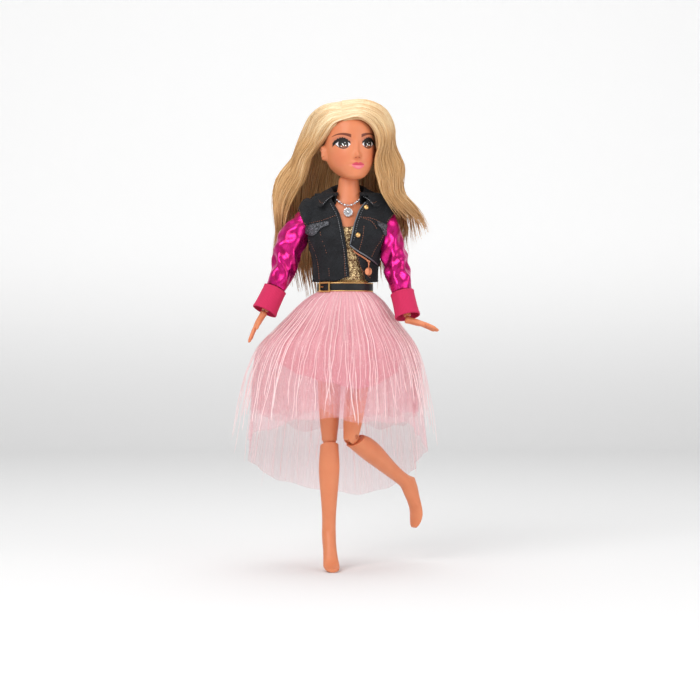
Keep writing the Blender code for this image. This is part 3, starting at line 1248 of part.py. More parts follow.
def build_necklace():
    """Makes the chain that lies on the chest, and its round pendant."""
    points = []
    for angle in evenly(-NECKLACE_REACH, NECKLACE_REACH, NECKLACE_POINTS):
        x = NECKLACE_MIDDLE + NECKLACE_HALF_WIDTH * math.sin(angle)
        z = NECKLACE_LOW_Z + NECKLACE_RISE * math.sin(angle) ** 2
        points.append((x, min(chest_y(x, z) - CHAIN_STAND, -NECKLACE_HALF_DEPTH * math.cos(angle)), z))
    curve = bpy.data.curves.new("necklace_route", "CURVE")
    curve.dimensions = "3D"
    curve.bevel_depth = CHAIN_RADIUS
    curve.bevel_resolution = CHAIN_RESOLUTION
    curve.use_fill_caps = True
    spline = curve.splines.new("POLY")
    spline.points.add(len(points) - 1)
    for knot, point in zip(spline.points, points):
        knot.co = (*point, 1)
    place(bpy.data.objects.new("necklace", curve), SILVER, None, PARTS)
    z = NECKLACE_LOW_Z - CHAIN_RADIUS - SEAT_GAP - PENDANT_RADIUS
    profile = [(wide * PENDANT_RADIUS, high * PENDANT_THICKNESS) for wide, high in PENDANT_SHARES]
    y = chest_y(NECKLACE_MIDDLE, z) - PENDANT_STAND
    turned("pendant", profile, SILVER, None, (NECKLACE_MIDDLE, y, z), (math.pi / 2, 0, 0))


clear_scene()
PARTS = new_collection("fashion_doll")
CUTTERS = new_collection("cutters")
SKIN = material("skin vinyl", (0.76, 0.3, 0.17), 0.45)
PEG = material("joint nylon", (0.62, 0.3, 0.2), 0.5)
HAIR = material("blonde hair", (0.84, 0.6, 0.3), 0.4)
DENIM = material("black denim", (0.02, 0.022, 0.026), 0.85)
FLAP = material("grey glitter", (0.15, 0.15, 0.17), 0.4, 0.5)
FOIL = material("magenta foil", (0.78, 0.01, 0.25), 0.2, 0.6)
CUFF = material("crimson knit", (0.65, 0.03, 0.12), 0.8)
GLITTER = material("gold glitter", (0.45, 0.27, 0.08), 0.35, 0.7)
BELT = material("black belt", (0.01, 0.01, 0.012), 0.4)
GOLD = material("gold metal", (0.8, 0.45, 0.14), 0.25, 1.0)
COPPER = material("copper metal", (0.72, 0.3, 0.16), 0.35, 1.0)
SILVER = material("silver metal", (0.85, 0.85, 0.86), 0.25, 1.0)
SATIN = material("pink satin", (0.9, 0.5, 0.53), 0.4)
NET = material("pink tulle", (0.9, 0.6, 0.62), 0.6)

build_trunk()
build_head()
for each_side in SIDES:
    build_arm(each_side)
    build_leg(each_side)
build_top()
build_jacket()
build_belt()
build_skirt()
build_necklace()
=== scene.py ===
"""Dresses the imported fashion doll: face, hair, denim jacket, satin sleeves and tulle skirt.

The doll faces -Y, +Z is up and +X is the doll's left. Tables and sizes are in millimetres,
and MM turns them into metres where a mesh is made.
"""

from __future__ import annotations

import json
import logging
import math
import random
from dataclasses import dataclass
from enum import Enum
from functools import cache
from typing import Callable, Sequence

import bmesh
import bpy
from mathutils import Euler, Matrix, Vector

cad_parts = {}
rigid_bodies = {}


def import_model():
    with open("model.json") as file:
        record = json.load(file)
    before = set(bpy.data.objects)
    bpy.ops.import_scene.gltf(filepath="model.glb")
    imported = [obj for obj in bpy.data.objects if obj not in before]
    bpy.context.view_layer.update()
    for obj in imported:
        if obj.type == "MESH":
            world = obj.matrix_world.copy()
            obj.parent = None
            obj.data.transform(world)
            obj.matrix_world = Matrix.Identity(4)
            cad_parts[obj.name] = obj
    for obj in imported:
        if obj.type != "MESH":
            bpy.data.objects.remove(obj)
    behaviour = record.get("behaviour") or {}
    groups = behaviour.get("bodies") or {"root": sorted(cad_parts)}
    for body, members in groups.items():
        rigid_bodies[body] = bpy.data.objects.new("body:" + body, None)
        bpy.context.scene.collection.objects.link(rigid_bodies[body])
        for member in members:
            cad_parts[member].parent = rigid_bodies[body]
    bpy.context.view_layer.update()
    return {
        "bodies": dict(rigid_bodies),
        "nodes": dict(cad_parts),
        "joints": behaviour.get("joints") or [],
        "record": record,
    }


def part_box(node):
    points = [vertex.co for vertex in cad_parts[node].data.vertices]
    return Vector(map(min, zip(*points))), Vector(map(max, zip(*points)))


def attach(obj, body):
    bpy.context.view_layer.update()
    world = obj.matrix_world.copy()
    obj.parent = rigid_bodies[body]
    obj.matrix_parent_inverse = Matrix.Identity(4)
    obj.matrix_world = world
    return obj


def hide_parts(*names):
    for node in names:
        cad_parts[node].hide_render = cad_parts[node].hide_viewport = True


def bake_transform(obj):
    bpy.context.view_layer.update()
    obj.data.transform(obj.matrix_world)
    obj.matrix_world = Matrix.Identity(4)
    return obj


MM = 0.001
LOG = logging.getLogger("doll")
Rows = Sequence[Sequence[Vector]]
Number = float | int


class Side(Enum):
    """The doll's own left and right."""

    LEFT = 1
    RIGHT = -1

    @property
    def word(self) -> str:
        """The side's name as the frame's nodes and bodies write it."""
        return self.name.lower()


class Shade:
    """A shader value that takes part in plain arithmetic."""

    def __init__(self, paint: Paint, socket: bpy.types.NodeSocket) -> None:
        """Wraps a socket of the paint's tree."""
        self.paint = paint
        self.socket = socket

    def __add__(self, other: Shade | Number) -> Shade:
        """Adds."""
        return self.paint.maths("ADD", self, other)

    def __radd__(self, other: Number) -> Shade:
        """Adds to a number."""
        return self.paint.maths("ADD", other, self)

    def __sub__(self, other: Shade | Number) -> Shade:
        """Subtracts."""
        return self.paint.maths("SUBTRACT", self, other)

    def __rsub__(self, other: Number) -> Shade:
        """Subtracts from a number."""
        return self.paint.maths("SUBTRACT", other, self)

    def __mul__(self, other: Shade | Number) -> Shade:
        """Multiplies."""
        return self.paint.maths("MULTIPLY", self, other)

    def __rmul__(self, other: Number) -> Shade:
        """Multiplies a number."""
        return self.paint.maths("MULTIPLY", other, self)

    def __truediv__(self, other: Shade | Number) -> Shade:
        """Divides."""
        return self.paint.maths("DIVIDE", self, other)

    def __rtruediv__(self, other: Number) -> Shade:
        """Divides a number."""
        return self.paint.maths("DIVIDE", other, self)

    def __pow__(self, other: Shade | Number) -> Shade:
        """Raises to a power."""
        return self.paint.maths("POWER", self, other)

    def __rpow__(self, other: Number) -> Shade:
        """Raises a number to this power."""
        return self.paint.maths("POWER", other, self)

    def __neg__(self) -> Shade:
        """Changes the sign."""
        return self.paint.maths("MULTIPLY", self, -1.0)

    def __abs__(self) -> Shade:
        """Drops the sign."""
        return self.paint.maths("ABSOLUTE", self)

    def sine(self) -> Shade:
        """Returns the sine."""
        return self.paint.maths("SINE", self)

    def least(self, other: Shade | Number) -> Shade:
        """Returns the smaller of two values."""
        return self.paint.maths("MINIMUM", self, other)

    def most(self, other: Shade | Number) -> Shade:
        """Returns the larger of two values."""
        return self.paint.maths("MAXIMUM", self, other)

    def fade(self, low: float, high: float) -> Shade:
        """Returns a soft step, 0 at low and 1 at high, whichever is larger.

        Args:
            low: The value where the step is 0.
            high: The value where the step is 1.

        Returns:
            The step as a shader value.
        """
        flipped = low > high
        ends = {"From Min": min(low, high), "From Max": max(low, high)}
        node = self.paint.node("ShaderNodeMapRange", {"interpolation_type": "SMOOTHSTEP"},
                               {"Value": self, **ends})
        made = Shade(self.paint, node.outputs["Result"])
        return 1 - made if flipped else made


Value = Shade | Number | tuple | bpy.types.NodeSocket


def tint(code: str) -> tuple[float, float, float, float]:
    """Returns a colour written as six hex digits, in the linear values that shaders use.

    Args:
        code: Two hex digits each for red, green and blue.

    Returns:
        Red, green, blue and a full alpha.
    """
    shares = [int(code[i:i + 2], 16) / 255 for i in (0, 2, 4)]
    red, green, blue = [s / 12.92 if s < 0.04045 else ((s + 0.055) / 1.055) ** 2.4 for s in shares]
    return red, green, blue, 1.0


class Paint:
    """Builds the nodes of one material."""

    def __init__(self, name: str) -> None:
        """Starts a material with its Principled shader."""
        self.material = bpy.data.materials.new(name)
        self.material.use_nodes = True
        self.tree = self.material.node_tree
        self.shader = self.tree.nodes["Principled BSDF"]

    def node(self, kind: str, settings: dict | None = None, inputs: dict | None = None) -> bpy.types.Node:
        """Adds one node.

        Args:
            kind: The node's type.
            settings: Its properties, where "stops" holds a ramp's places and colours.
            inputs: The values or links of its sockets, by name or by number.

        Returns:
            The new node.
        """
        made = self.tree.nodes.new(kind)
        for key, value in (settings or {}).items():
            if key == "stops":
                self._stops(made.color_ramp, value)
            else:
                setattr(made, key, value)
        for key, value in (inputs or {}).items():
            self.join(value, made.inputs[key])
        return made

    @staticmethod
    def _stops(ramp: bpy.types.ColorRamp, stops: Sequence[tuple[float, tuple]]) -> None:
        """Sets a ramp's stops."""
        while len(ramp.elements) < len(stops):
            ramp.elements.new(0.5)
        for element, (place, colour) in zip(ramp.elements, stops):
            element.position = place
            element.color = colour

    def join(self, value: Value, socket: bpy.types.NodeSocket) -> None:
        """Links a value to a socket, or writes it there."""
        if isinstance(value, Shade):
            self.tree.links.new(value.socket, socket)
        elif isinstance(value, bpy.types.NodeSocket):
            self.tree.links.new(value, socket)
        else:
            socket.default_value = value

    def feed(self, **values: Value) -> None:
        """Sets the shader's sockets, with each name's underscores as spaces."""
        for name, value in values.items():
            self.join(value, self.shader.inputs[name.replace("_", " ")])

    def maths(self, operation: str, first: Value, second: Value = 0.0) -> Shade:
        """Adds a Math node.

        Args:
            operation: What it does.
            first: Its first value.
            second: Its second value.

        Returns:
            The result.
        """
        node = self.node("ShaderNodeMath", {"operation": operation}, {0: first, 1: second})
        return Shade(self, node.outputs[0])

    def mix(self, share: Value, first: Value, second: Value) -> bpy.types.NodeSocket:
        """Mixes two colours.

        Args:
            share: How much of the second colour shows.
            first: The colour at 0.
            second: The colour at 1.

        Returns:
            The mixed colour.
        """
        node = self.node("ShaderNodeMix", {"data_type": "RGBA"}, {0: share, 6: first, 7: second})
        return node.outputs[2]

    def object_point(self) -> bpy.types.NodeSocket:
        """Returns the surface's place in its own piece, in millimetres."""
        place = self.node("ShaderNodeTexCoord").outputs["Object"]
        return self.stretch(place, (1 / MM, 1 / MM, 1 / MM))

    def cloth_point(self) -> bpy.types.NodeSocket:
        """Returns the place across and along the cloth, in millimetres."""
        return self.node("ShaderNodeTexCoord").outputs["UV"]

    def stretch(self, place: Value, by: tuple[float, float, float]) -> bpy.types.NodeSocket:
        """Scales a place along each axis."""
        node = self.node("ShaderNodeVectorMath", {"operation": "MULTIPLY"}, {0: place, 1: by})
        return node.outputs[0]

    def parts(self, place: Value) -> tuple[Shade, Shade, Shade]:
        """Splits a place into its three numbers."""
        node = self.node("ShaderNodeSeparateXYZ", None, {0: place})
        return tuple(Shade(self, socket) for socket in node.outputs)

    def noise(self, place: Value, scale: float, detail: float = 2.0, rough: float = 0.5) -> Shade:
        """Returns soft noise from 0 to 1.

        Args:
            place: Where the noise is read.
            scale: How many lumps there are to a unit.
            detail: How many finer layers it has.
            rough: How strong the finer layers are.

        Returns:
            The noise.
        """
        ins = {"Vector": place, "Scale": scale, "Detail": detail, "Roughness": rough}
        return Shade(self, self.node("ShaderNodeTexNoise", None, ins).outputs["Fac"])

    def cells(self, place: Value, scale: float) -> tuple[Shade, Shade]:
        """Returns the distance to the nearest cell's middle, and a number of the cell's own."""
        node = self.node("ShaderNodeTexVoronoi", None, {"Vector": place, "Scale": scale})
        red, _, _ = self.parts(node.outputs["Color"])
        return Shade(self, node.outputs["Distance"]), red

    def bump(self, height: Shade, strength: float, depth: float = 0.1) -> None:
        """Raises the surface by a height.

        Args:
            height: The height, from 0 to 1.
            strength: How much of it shows.
            depth: How far 1 is, in millimetres.
        """
        ins = {"Height": height, "Strength": strength, "Distance": depth * MM}
        self.feed(Normal=self.node("ShaderNodeBump", None, ins).outputs["Normal"])


@dataclass(frozen=True)
class Vinyl:
    """Soft moulded vinyl or hard nylon, with faint mottling and a fine skin."""

    name: str
    colour: str
    deep: str
    rough: float = 0.42
    glow: float = 0.12

    def start(self) -> Paint:
        """Returns the paint, with its colour left to feed."""
        paint = Paint(self.name)
        place = paint.object_point()
        grain = paint.noise(place, 9.0, 3.0)
        paint.feed(Roughness=self.rough + 0.12 * (grain - 0.5), Subsurface_Weight=self.glow,
                   Subsurface_Radius=(1.0, 0.35, 0.2), Subsurface_Scale=1.6 * MM, Specular_IOR_Level=0.42)
        paint.bump(grain, 0.08, 0.04)
        return paint

    def base(self, paint: Paint) -> bpy.types.NodeSocket:
        """Returns the mottled colour."""
        return paint.mix(paint.noise(paint.object_point(), 0.16, 2.0), tint(self.colour), tint(self.deep))

    def make(self) -> bpy.types.Material:
        """Returns the material."""
        paint = self.start()
        paint.feed(Base_Color=self.base(paint))
        return paint.material


@dataclass(frozen=True)
class PaintedFace:
    """The vinyl of the head with the printed eyes, brows and lips, a painted highlight on the lower lip and
    painted shade about the nose.

    Places are from the middle of the chin, across and up.
    """

    skin: Vinyl
    eye_x: float = 7.9
    eye_z: float = 21.6
    mouth_x: float = 0.5
    mouth_z: float = 8.7

    def make(self) -> bpy.types.Material:
        """Returns the material."""
        paint = self.skin.start()
        across, depth, up = paint.parts(paint.object_point())
        front = depth.fade(-1.0, -4.0)
        colour = self.skin.base(paint)
        colour = self._blush(paint, colour, across, up, front)
        colour = self._mouth(paint, colour, across, up, front)
        colour = self._eyes(paint, colour, across, up, front)
        paint.feed(Base_Color=colour)
        return paint.material

    @staticmethod
    def _spot(u: Shade, v: Shade, wide: float, high: float, soft: float = 0.12) -> Shade:
        """Returns a soft oval about the place where u and v are 0."""
        return ((u / wide) ** 2 + (v / high) ** 2).fade(1 + soft, 1 - soft)

    def _blush(self, paint: Paint, colour: Value, across: Shade, up: Shade,
               front: Shade) -> bpy.types.NodeSocket:
        """Warms the cheeks with blush, and paints shade into the nostrils and under the nose."""
        cheek = self._spot(abs(across) - 9.6, up - 13.5, 4.6, 4.4, 0.95) * front
        colour = paint.mix(cheek * 0.2, colour, tint("E2684C"))
        # Painted shade: the nostrils are darkened.
        nostril_shade = self._spot(abs(across) - 1.15, up - 12.9, 0.65, 0.36, 0.5) * front
        colour = paint.mix(nostril_shade * 0.7, colour, tint("8A3A26"))
        # Painted shade under the nose.
        under = self._spot(across, up - 12.4, 2.6, 1.2, 0.9) * front
        return paint.mix(under * 0.3, colour, tint("B5562F"))

    def _mouth(self, paint: Paint, colour: Value, across: Shade, up: Shade,
               front: Shade) -> bpy.types.NodeSocket:
        """Paints the pouting lips, a painted highlight on the lower lip, and the dark line between them."""
        place = across - self.mouth_x
        side = abs(place)
        line = up - self.mouth_z + 0.3 * (1 - side / 3.9).most(0)
        edge = (1 - (side / 4.1) ** 2).most(0)
        bow = 1.75 * edge ** 0.8 - 0.6 * (1 - side / 1.0).most(0)
        above = line.fade(-0.1, 0.1) * (bow - line).fade(-0.12, 0.12)
        below = line.fade(0.1, -0.1) * (line + 2.5 * edge ** 0.6).fade(-0.12, 0.12)
        colour = paint.mix(above * front, colour, tint("D64A5E"))
        colour = paint.mix(below * front, colour, tint("E86F80"))
        # Painted highlight: a pale spot on the lower lip.
        lip_highlight = self._spot(place + 0.2, line + 1.3, 1.9, 0.55, 0.9) * front
        colour = paint.mix(lip_highlight * 0.5, colour, tint("FFB0B4"))
        seam = abs(line).fade(0.34, 0.08) * (side - 3.6).fade(0.2, -0.2) * front
        return paint.mix(seam * 0.85, colour, tint("A82A3E"))

    def _eyes(self, paint: Paint, colour: Value, across: Shade, up: Shade,
              front: Shade) -> bpy.types.NodeSocket:
        """Paints the brows, the shadow, the eyes with their glints, and the lashes."""
        out = abs(across) - self.eye_x
        level = up - self.eye_z
        rise = level - 0.07 * out
        lid = 2.35 - 0.125 * out ** 2
        floor = -2.75 + 0.155 * out ** 2
        past = out - 2.0
        brow_line = 6.25 - 0.034 * past ** 2 - 0.055 * past.most(0) ** 2
        brow = (abs(level - brow_line) - (1.0 - 0.078 * (out + 4.4))).fade(0.14, -0.14)
        brow = brow * (out + 4.7).fade(-0.3, 0.5) * (out - 5.7).fade(0.4, -0.6) * front
        colour = paint.mix(brow * 0.92, colour, tint("63281A"))
        shadow = self._spot(out - 0.3, rise - 2.4, 5.0, 2.4, 0.7) * (rise - lid).fade(-0.4, 0.2) * front
        colour = paint.mix(shadow * 0.5, colour, tint("A0685F"))
        opening = (rise - floor).fade(-0.1, 0.1) * (lid - rise).fade(-0.1, 0.1) * front
        colour = paint.mix(opening, colour, tint("EFE6E6"))
        iris_u, iris_v = out + 0.1, rise - 0.05
        iris = self._spot(iris_u, iris_v, 2.85, 3.1, 0.08) * opening
        colour = paint.mix(iris, colour, tint("120A09"))
        ring = self._spot(iris_u, iris_v + 1.5, 2.0, 1.15, 0.55) * iris
        colour = paint.mix(ring * 0.85, colour, tint("8E4A22"))
        pupil = self._spot(iris_u, iris_v - 0.2, 1.3, 1.5, 0.12) * iris
        colour = paint.mix(pupil, colour, tint("050304"))
        eye = across.fade(-0.5, 0.5) * 2 - 1
        glint_u = across - eye * (self.eye_x - 0.1)
        glint = self._spot(glint_u + 0.5 + 0.6 * iris_v, glint_u - 0.6 * iris_v, 0.34, 1.0, 0.25) * opening
        colour = paint.mix(glint, colour, tint("FFFFFF"))
        for beside, below, size in ((1.2, 0.9, 0.36), (-1.2, 1.5, 0.26), (0.9, -0.9, 0.22)):
            spot = self._spot(glint_u - beside, iris_v + below, size, size, 0.3) * opening
            colour = paint.mix(spot, colour, tint("FFFFFF"))
        spikes = 0.55 + 0.45 * (out * 4.6).sine()
        lash_height = 1.0 + 0.14 * (out + 3.0).most(0) + 0.5 * spikes
        lash = (rise - lid).fade(-0.3, 0.0) * (lash_height - (rise - lid)).fade(-0.2, 0.2)
        reach = (out + 4.5).fade(-0.2, 0.8) * (out - 5.4).fade(0.5, -0.3)
        colour = paint.mix(lash * reach * front, colour, tint("0B0708"))
        lower = abs(rise - floor).fade(0.34, 0.12) * (out + 3.2).fade(-0.6, 0.6) * (out - 4.7).fade(0.3, -0.3)
        return paint.mix(lower * 0.9 * front, colour, tint("2A1210"))


@dataclass(frozen=True)
class Hair:
    """Long nylon fibre with fine streaks along the strands; painted shade darkens it lower down, and all over
    by shade.
    """

    name: str
    pale: str = "FFF0CC"
    warm: str = "DDB078"
    dark: str = "8F6338"
    shade: float = 0.0

    def make(self) -> bpy.types.Material:
        """Returns the material."""
        paint = Paint(self.name)
        cloth = paint.cloth_point()
        fine = paint.noise(paint.stretch(cloth, (3.4, 0.05, 1.0)), 1.0, 3.0, 0.7)
        broad = paint.noise(paint.stretch(cloth, (0.55, 0.03, 1.0)), 1.0, 2.0)
        _, _, up = paint.parts(paint.object_point())
        # Painted shade: the hair turns darker below the crown, and darker still by shade.
        low = up.fade(104.0, 84.0)
        mixed = (fine * 0.6 + broad * 0.4 - 0.5) * 1.35 + 0.47 + low * 0.15 + self.shade
        ramp = paint.node("ShaderNodeValToRGB", {"stops": [(0.36, tint(self.pale)), (0.56, tint(self.warm)),
                                                           (0.82, tint(self.dark))]}, {0: mixed})
        paint.feed(Base_Color=ramp.outputs["Color"], Roughness=0.3 + 0.2 * fine, Specular_IOR_Level=0.6)
        paint.bump(fine, 0.55, 0.12)
        return paint.material


@dataclass(frozen=True)
class Denim:
    """Black twill with pale threads in its weave and paler worn patches at random."""

    name: str
    colour: str = "08090B"
    thread: str = "50535A"

    def make(self) -> bpy.types.Material:
        """Returns the material."""
        paint = Paint(self.name)
        across, along, _ = paint.parts(paint.cloth_point())
        wobble = paint.noise(paint.cloth_point(), 1.2, 2.0)
        twill = ((across * 9.0 + along * 13.0 + wobble * 5.0).sine() * 0.5 + 0.5)
        rib = ((across * 16.0).sine() * 0.5 + 0.5)
        slub = paint.noise(paint.stretch(paint.cloth_point(), (5.0, 0.9, 1.0)), 1.0, 3.0, 0.6)
        wear = paint.noise(paint.cloth_point(), 0.16, 3.0, 0.6).fade(0.42, 0.72)
        show = (twill * slub.fade(0.35, 0.75) * 0.5 + wear * 0.08 + slub * 0.02)
        paint.feed(Base_Color=paint.mix(show, tint(self.colour), tint(self.thread)),
                   Roughness=0.82 - 0.12 * slub,
                   Sheen_Weight=0.04, Sheen_Roughness=0.5, Specular_IOR_Level=0.25)
        paint.bump(twill * 0.6 + rib * 0.25 + slub * 0.5, 0.5, 0.12)
        return paint.material


@dataclass(frozen=True)
class Foil:
    """Thin satin with a metallic foil face."""

    name: str
    colour: str = "E2128A"
    deep: str = "B00C58"

    def make(self) -> bpy.types.Material:
        """Returns the material."""
        paint = Paint(self.name)
        place = paint.cloth_point()
        cloud = paint.noise(place, 0.22, 3.0)
        fine = paint.noise(place, 0.3, 2.0, 0.4)
        weave = (paint.parts(place)[0] * 22.0).sine() * 0.5 + 0.5
        paint.feed(Base_Color=paint.mix(cloud.fade(0.3, 0.7), tint(self.colour), tint(self.deep)),
                   Metallic=0.78 + 0.1 * cloud, Roughness=0.24 + 0.08 * fine, Sheen_Weight=0.15,
                   Sheen_Tint=tint("FF5CB8"), Coat_Weight=0.2, Coat_Roughness=0.15)
        paint.bump(fine * 0.9 + weave * 0.1, 0.15, 0.2)
        return paint.material


@dataclass(frozen=True)
class Knit:
    """Matte ribbed knit, with painted shade in the hollows between the ribs."""

    name: str
    colour: str = "D6225C"
    deep: str = "A8123F"

    def make(self) -> bpy.types.Material:
        """Returns the material."""
        paint = Paint(self.name)
        across, along, _ = paint.parts(paint.cloth_point())
        rib = (across * 7.5).sine() * 0.5 + 0.5
        loops = (along * 11.0 + rib * 2.0).sine() * 0.5 + 0.5
        fuzz = paint.noise(paint.cloth_point(), 3.5, 3.0)
        # Painted shade: the hollows between the ribs are darker; the fuzz varies the colour at random.
        paint.feed(Base_Color=paint.mix((1 - rib) * 0.35 + fuzz * 0.35, tint(self.colour), tint(self.deep)),
                   Roughness=0.78 + 0.12 * fuzz, Sheen_Weight=0.3, Sheen_Tint=tint("FF6E9A"))
        paint.bump(rib * 0.6 + loops * 0.4 + fuzz * 0.3, 0.45, 0.14)
        return paint.material


@dataclass(frozen=True)
class Glitter:
    """Cloth covered in small flakes that each catch the light their own way, the brighter ones painted pale
    as painted sparkle.
    """

    name: str
    low: str
    high: str
    flake: float = 2.6
    sparkle: float = 0.72
    metal: float = 0.75

    def make(self) -> bpy.types.Material:
        """Returns the material."""
        paint = Paint(self.name)
        place = paint.object_point()
        away, own = paint.cells(place, self.flake)
        _, second = paint.cells(place, self.flake * 0.43)
        # Flake colour runs from dark to pale at random: partly the flakes' own tone, partly painted sparkle.
        bright = (own * 0.7 + second * 0.3).fade(self.sparkle - 0.4, self.sparkle + 0.12)
        paint.feed(Base_Color=paint.mix(bright, tint(self.low), tint(self.high)),
                   Metallic=self.metal * (0.4 + 0.6 * own),
                   Roughness=0.55 - 0.35 * bright)
        paint.bump(own * 0.8 - away * 0.6, 0.9, 0.22)
        return paint.material


@dataclass(frozen=True)
class Metal:
    """Plated metal with soft clouding and fine scratches."""

    name: str
    colour: str
    deep: str
    rough: float = 0.22

    def make(self) -> bpy.types.Material:
        """Returns the material."""
        paint = Paint(self.name)
        place = paint.object_point()
        cloud = paint.noise(place, 0.7, 3.0)
        scratch = paint.noise(paint.stretch(place, (1.0, 1.0, 9.0)), 4.0, 3.0, 0.7)
        paint.feed(Base_Color=paint.mix(cloud, tint(self.colour), tint(self.deep)), Metallic=0.95,
                   Roughness=self.rough + 0.18 * scratch)
        paint.bump(scratch, 0.15, 0.05)
        return paint.material


@dataclass(frozen=True)
class Leather:
    """Smooth coated leather with a fine grain."""

    name: str
    colour: str = "0C0B0D"
    worn: str = "2A292C"

    def make(self) -> bpy.types.Material:
        """Returns the material."""
        paint = Paint(self.name)
        place = paint.object_point()
        away, own = paint.cells(place, 3.4)
        wear = paint.noise(place, 0.5, 4.0, 0.6).fade(0.5, 0.8)
        paint.feed(Base_Color=paint.mix(wear * 0.5 + own * 0.15, tint(self.colour), tint(self.worn)),
                   Roughness=0.42 + 0.2 * own, Coat_Weight=0.06, Coat_Roughness=0.25,
                   Specular_IOR_Level=0.35)
        paint.bump(away, 0.35, 0.08)
        return paint.material


@dataclass(frozen=True)
class Satin:
    """Soft pink satin with a faint weave."""

    name: str
    colour: str = "F3A9B4"
    deep: str = "E48D9C"

    def make(self) -> bpy.types.Material:
        """Returns the material."""
        paint = Paint(self.name)
        across, along, _ = paint.parts(paint.cloth_point())
        cloud = paint.noise(paint.cloth_point(), 0.1, 3.0)
        weave = (across * 12.0).sine() * (along * 12.0).sine() * 0.5 + 0.5
        paint.feed(Base_Color=paint.mix(cloud, tint(self.colour), tint(self.deep)),
                   Roughness=0.38 + 0.12 * weave,
                   Sheen_Weight=0.35, Sheen_Tint=tint("FFD9DE"), Specular_IOR_Level=0.45)
        paint.bump(weave, 0.3, 0.06)
        return paint.material


@dataclass(frozen=True)
class Net:
    """Sheer tulle: a fine net that thickens towards the waist, with specks of glitter."""

    name: str
    cover: float
    waist: float
    colour: str = "F5ACB8"
    glint: str = "FFF4EC"

    def make(self) -> bpy.types.Material:
        """Returns the material."""
        paint = Paint(self.name)
        across, along, _ = paint.parts(paint.cloth_point())
        first = (across * 5.2 + along * 5.2).sine() * 0.5 + 0.5
        second = (across * 5.2 - along * 5.2).sine() * 0.5 + 0.5
        threads = first.most(second) ** 3
        away, own = paint.cells(paint.cloth_point(), 1.5)
        speck = own.fade(0.86, 0.9) * away.fade(0.3, 0.2)
        drawn = paint.stretch(paint.cloth_point(), (0.55, 0.02, 1.0))
        streak = paint.noise(drawn, 1.0, 3.0, 0.6).fade(0.3, 0.75)
        gather = along.fade(34.0, 0.0) * self.waist
        fading = 0.72 + 0.28 * along.fade(75.0, 25.0)
        alpha = self.cover * fading * (0.5 + 0.5 * threads + 0.7 * streak) + gather + speck * 0.8
        paint.feed(Base_Color=paint.mix(speck + streak * 0.3, tint(self.colour), tint(self.glint)),
                   Roughness=0.62 - 0.4 * speck, Metallic=speck * 0.15, Alpha=alpha.least(0.97).most(0.02),
                   Sheen_Weight=0.25, Sheen_Tint=tint("FFE4E6"))
        paint.bump(threads + speck, 0.3, 0.08)
        return paint.material


@dataclass(frozen=True)
class Thread:
    """Bright spun thread or tinsel."""

    name: str
    colour: str
    deep: str
    metal: float = 0.0
    rough: float = 0.45

    def make(self) -> bpy.types.Material:
        """Returns the material."""
        paint = Paint(self.name)
        across, along, _ = paint.parts(paint.cloth_point())
        twist = ((along * 14.0 + across * 6.0).sine() * 0.5 + 0.5)
        cloud = paint.noise(paint.object_point(), 0.8, 2.0)
        paint.feed(Base_Color=paint.mix(twist * 0.4 + cloud * 0.4, tint(self.colour), tint(self.deep)),
                   Roughness=self.rough + 0.1 * twist, Metallic=self.metal)
        paint.bump(twist, 0.4, 0.05)
        return paint.material


@dataclass(frozen=True)
class Studio:
    """Plain pale board that shows white to the camera and keeps the doll's soft shadow."""

    name: str = "studio board"

    def make(self) -> bpy.types.Material:
        """Returns the material."""
        paint = Paint(self.name)
        grain = paint.noise(paint.object_point(), 0.02, 2.0)
        rays = paint.node("ShaderNodeLightPath", None, {})
        seen = (Shade(paint, rays.outputs["Is Camera Ray"]) + Shade(paint, rays.outputs["Is Glossy Ray"])
                + Shade(paint, rays.outputs["Is Transmission Ray"]))
        wall = paint.parts(paint.object_point())[2].fade(-170.0, 150.0)
        paint.feed(Base_Color=paint.mix(grain * 0.04, (0.86, 0.86, 0.86, 1.0), (0.8, 0.8, 0.8, 1.0)),
                   Roughness=0.9,
                   Emission_Color=paint.mix(seen * wall, (0.0, 0.0, 0.0, 1.0), (0.24, 0.24, 0.24, 1.0)),
                   Emission_Strength=1.0)
        return paint.material


Finish = (Vinyl | Hair | Denim | Foil | Knit | Glitter | Metal | Leather | Satin | Net | Thread | Studio)

SKIN = Vinyl("skin vinyl", "E08C62", "D67E55")
PEG = Vinyl("joint nylon", "CE7852", "C06A48", 0.5, 0.0)
HAIR = Hair("blonde hair")
UNDER_HAIR = Hair("shaded hair", "E8C798", "C99D6C", "9A7048", 0.06)
DENIM = Denim("black denim")
FLAP = Glitter("grey glitter", "26272B", "8E9098", 3.4, 0.86, 0.35)
PIPING = Metal("grey piping", "8C9096", "5E6268", 0.35)
FOIL = Foil("magenta foil")
CUFF = Knit("crimson knit")
GLITTER = Glitter("gold glitter", "5E3818", "FBDCA4", 2.1, 0.72)
FRILL = Thread("gold frill", "E9C483", "9A6C34", 0.6, 0.3)
LEATHER = Leather("black belt")
GOLD = Metal("gold plate", "F2CB8C", "DDA65C")
COPPER = Metal("copper plate", "E29C78", "B96E4C", 0.3)
SILVER = Metal("silver plate", "F2F2F4", "C9CACF", 0.14)
SATIN = Satin("pink satin")
TINSEL = Thread("white tinsel", "FFF3F2", "F7C9CD", 0.25, 0.25)
STITCH = Thread("copper thread", "B3704F", "7E4630")
PALE_STITCH = Thread("grey thread", "A7A9AD", "6D7076")


@cache
def look(finish: Finish) -> bpy.types.Material:
    """Returns a finish's material, made once."""
    return finish.make()


def smooth_step(share: float) -> float:
    """Returns a share eased at both ends."""
    share = min(max(share, 0.0), 1.0)
    return share * share * (3 - 2 * share)


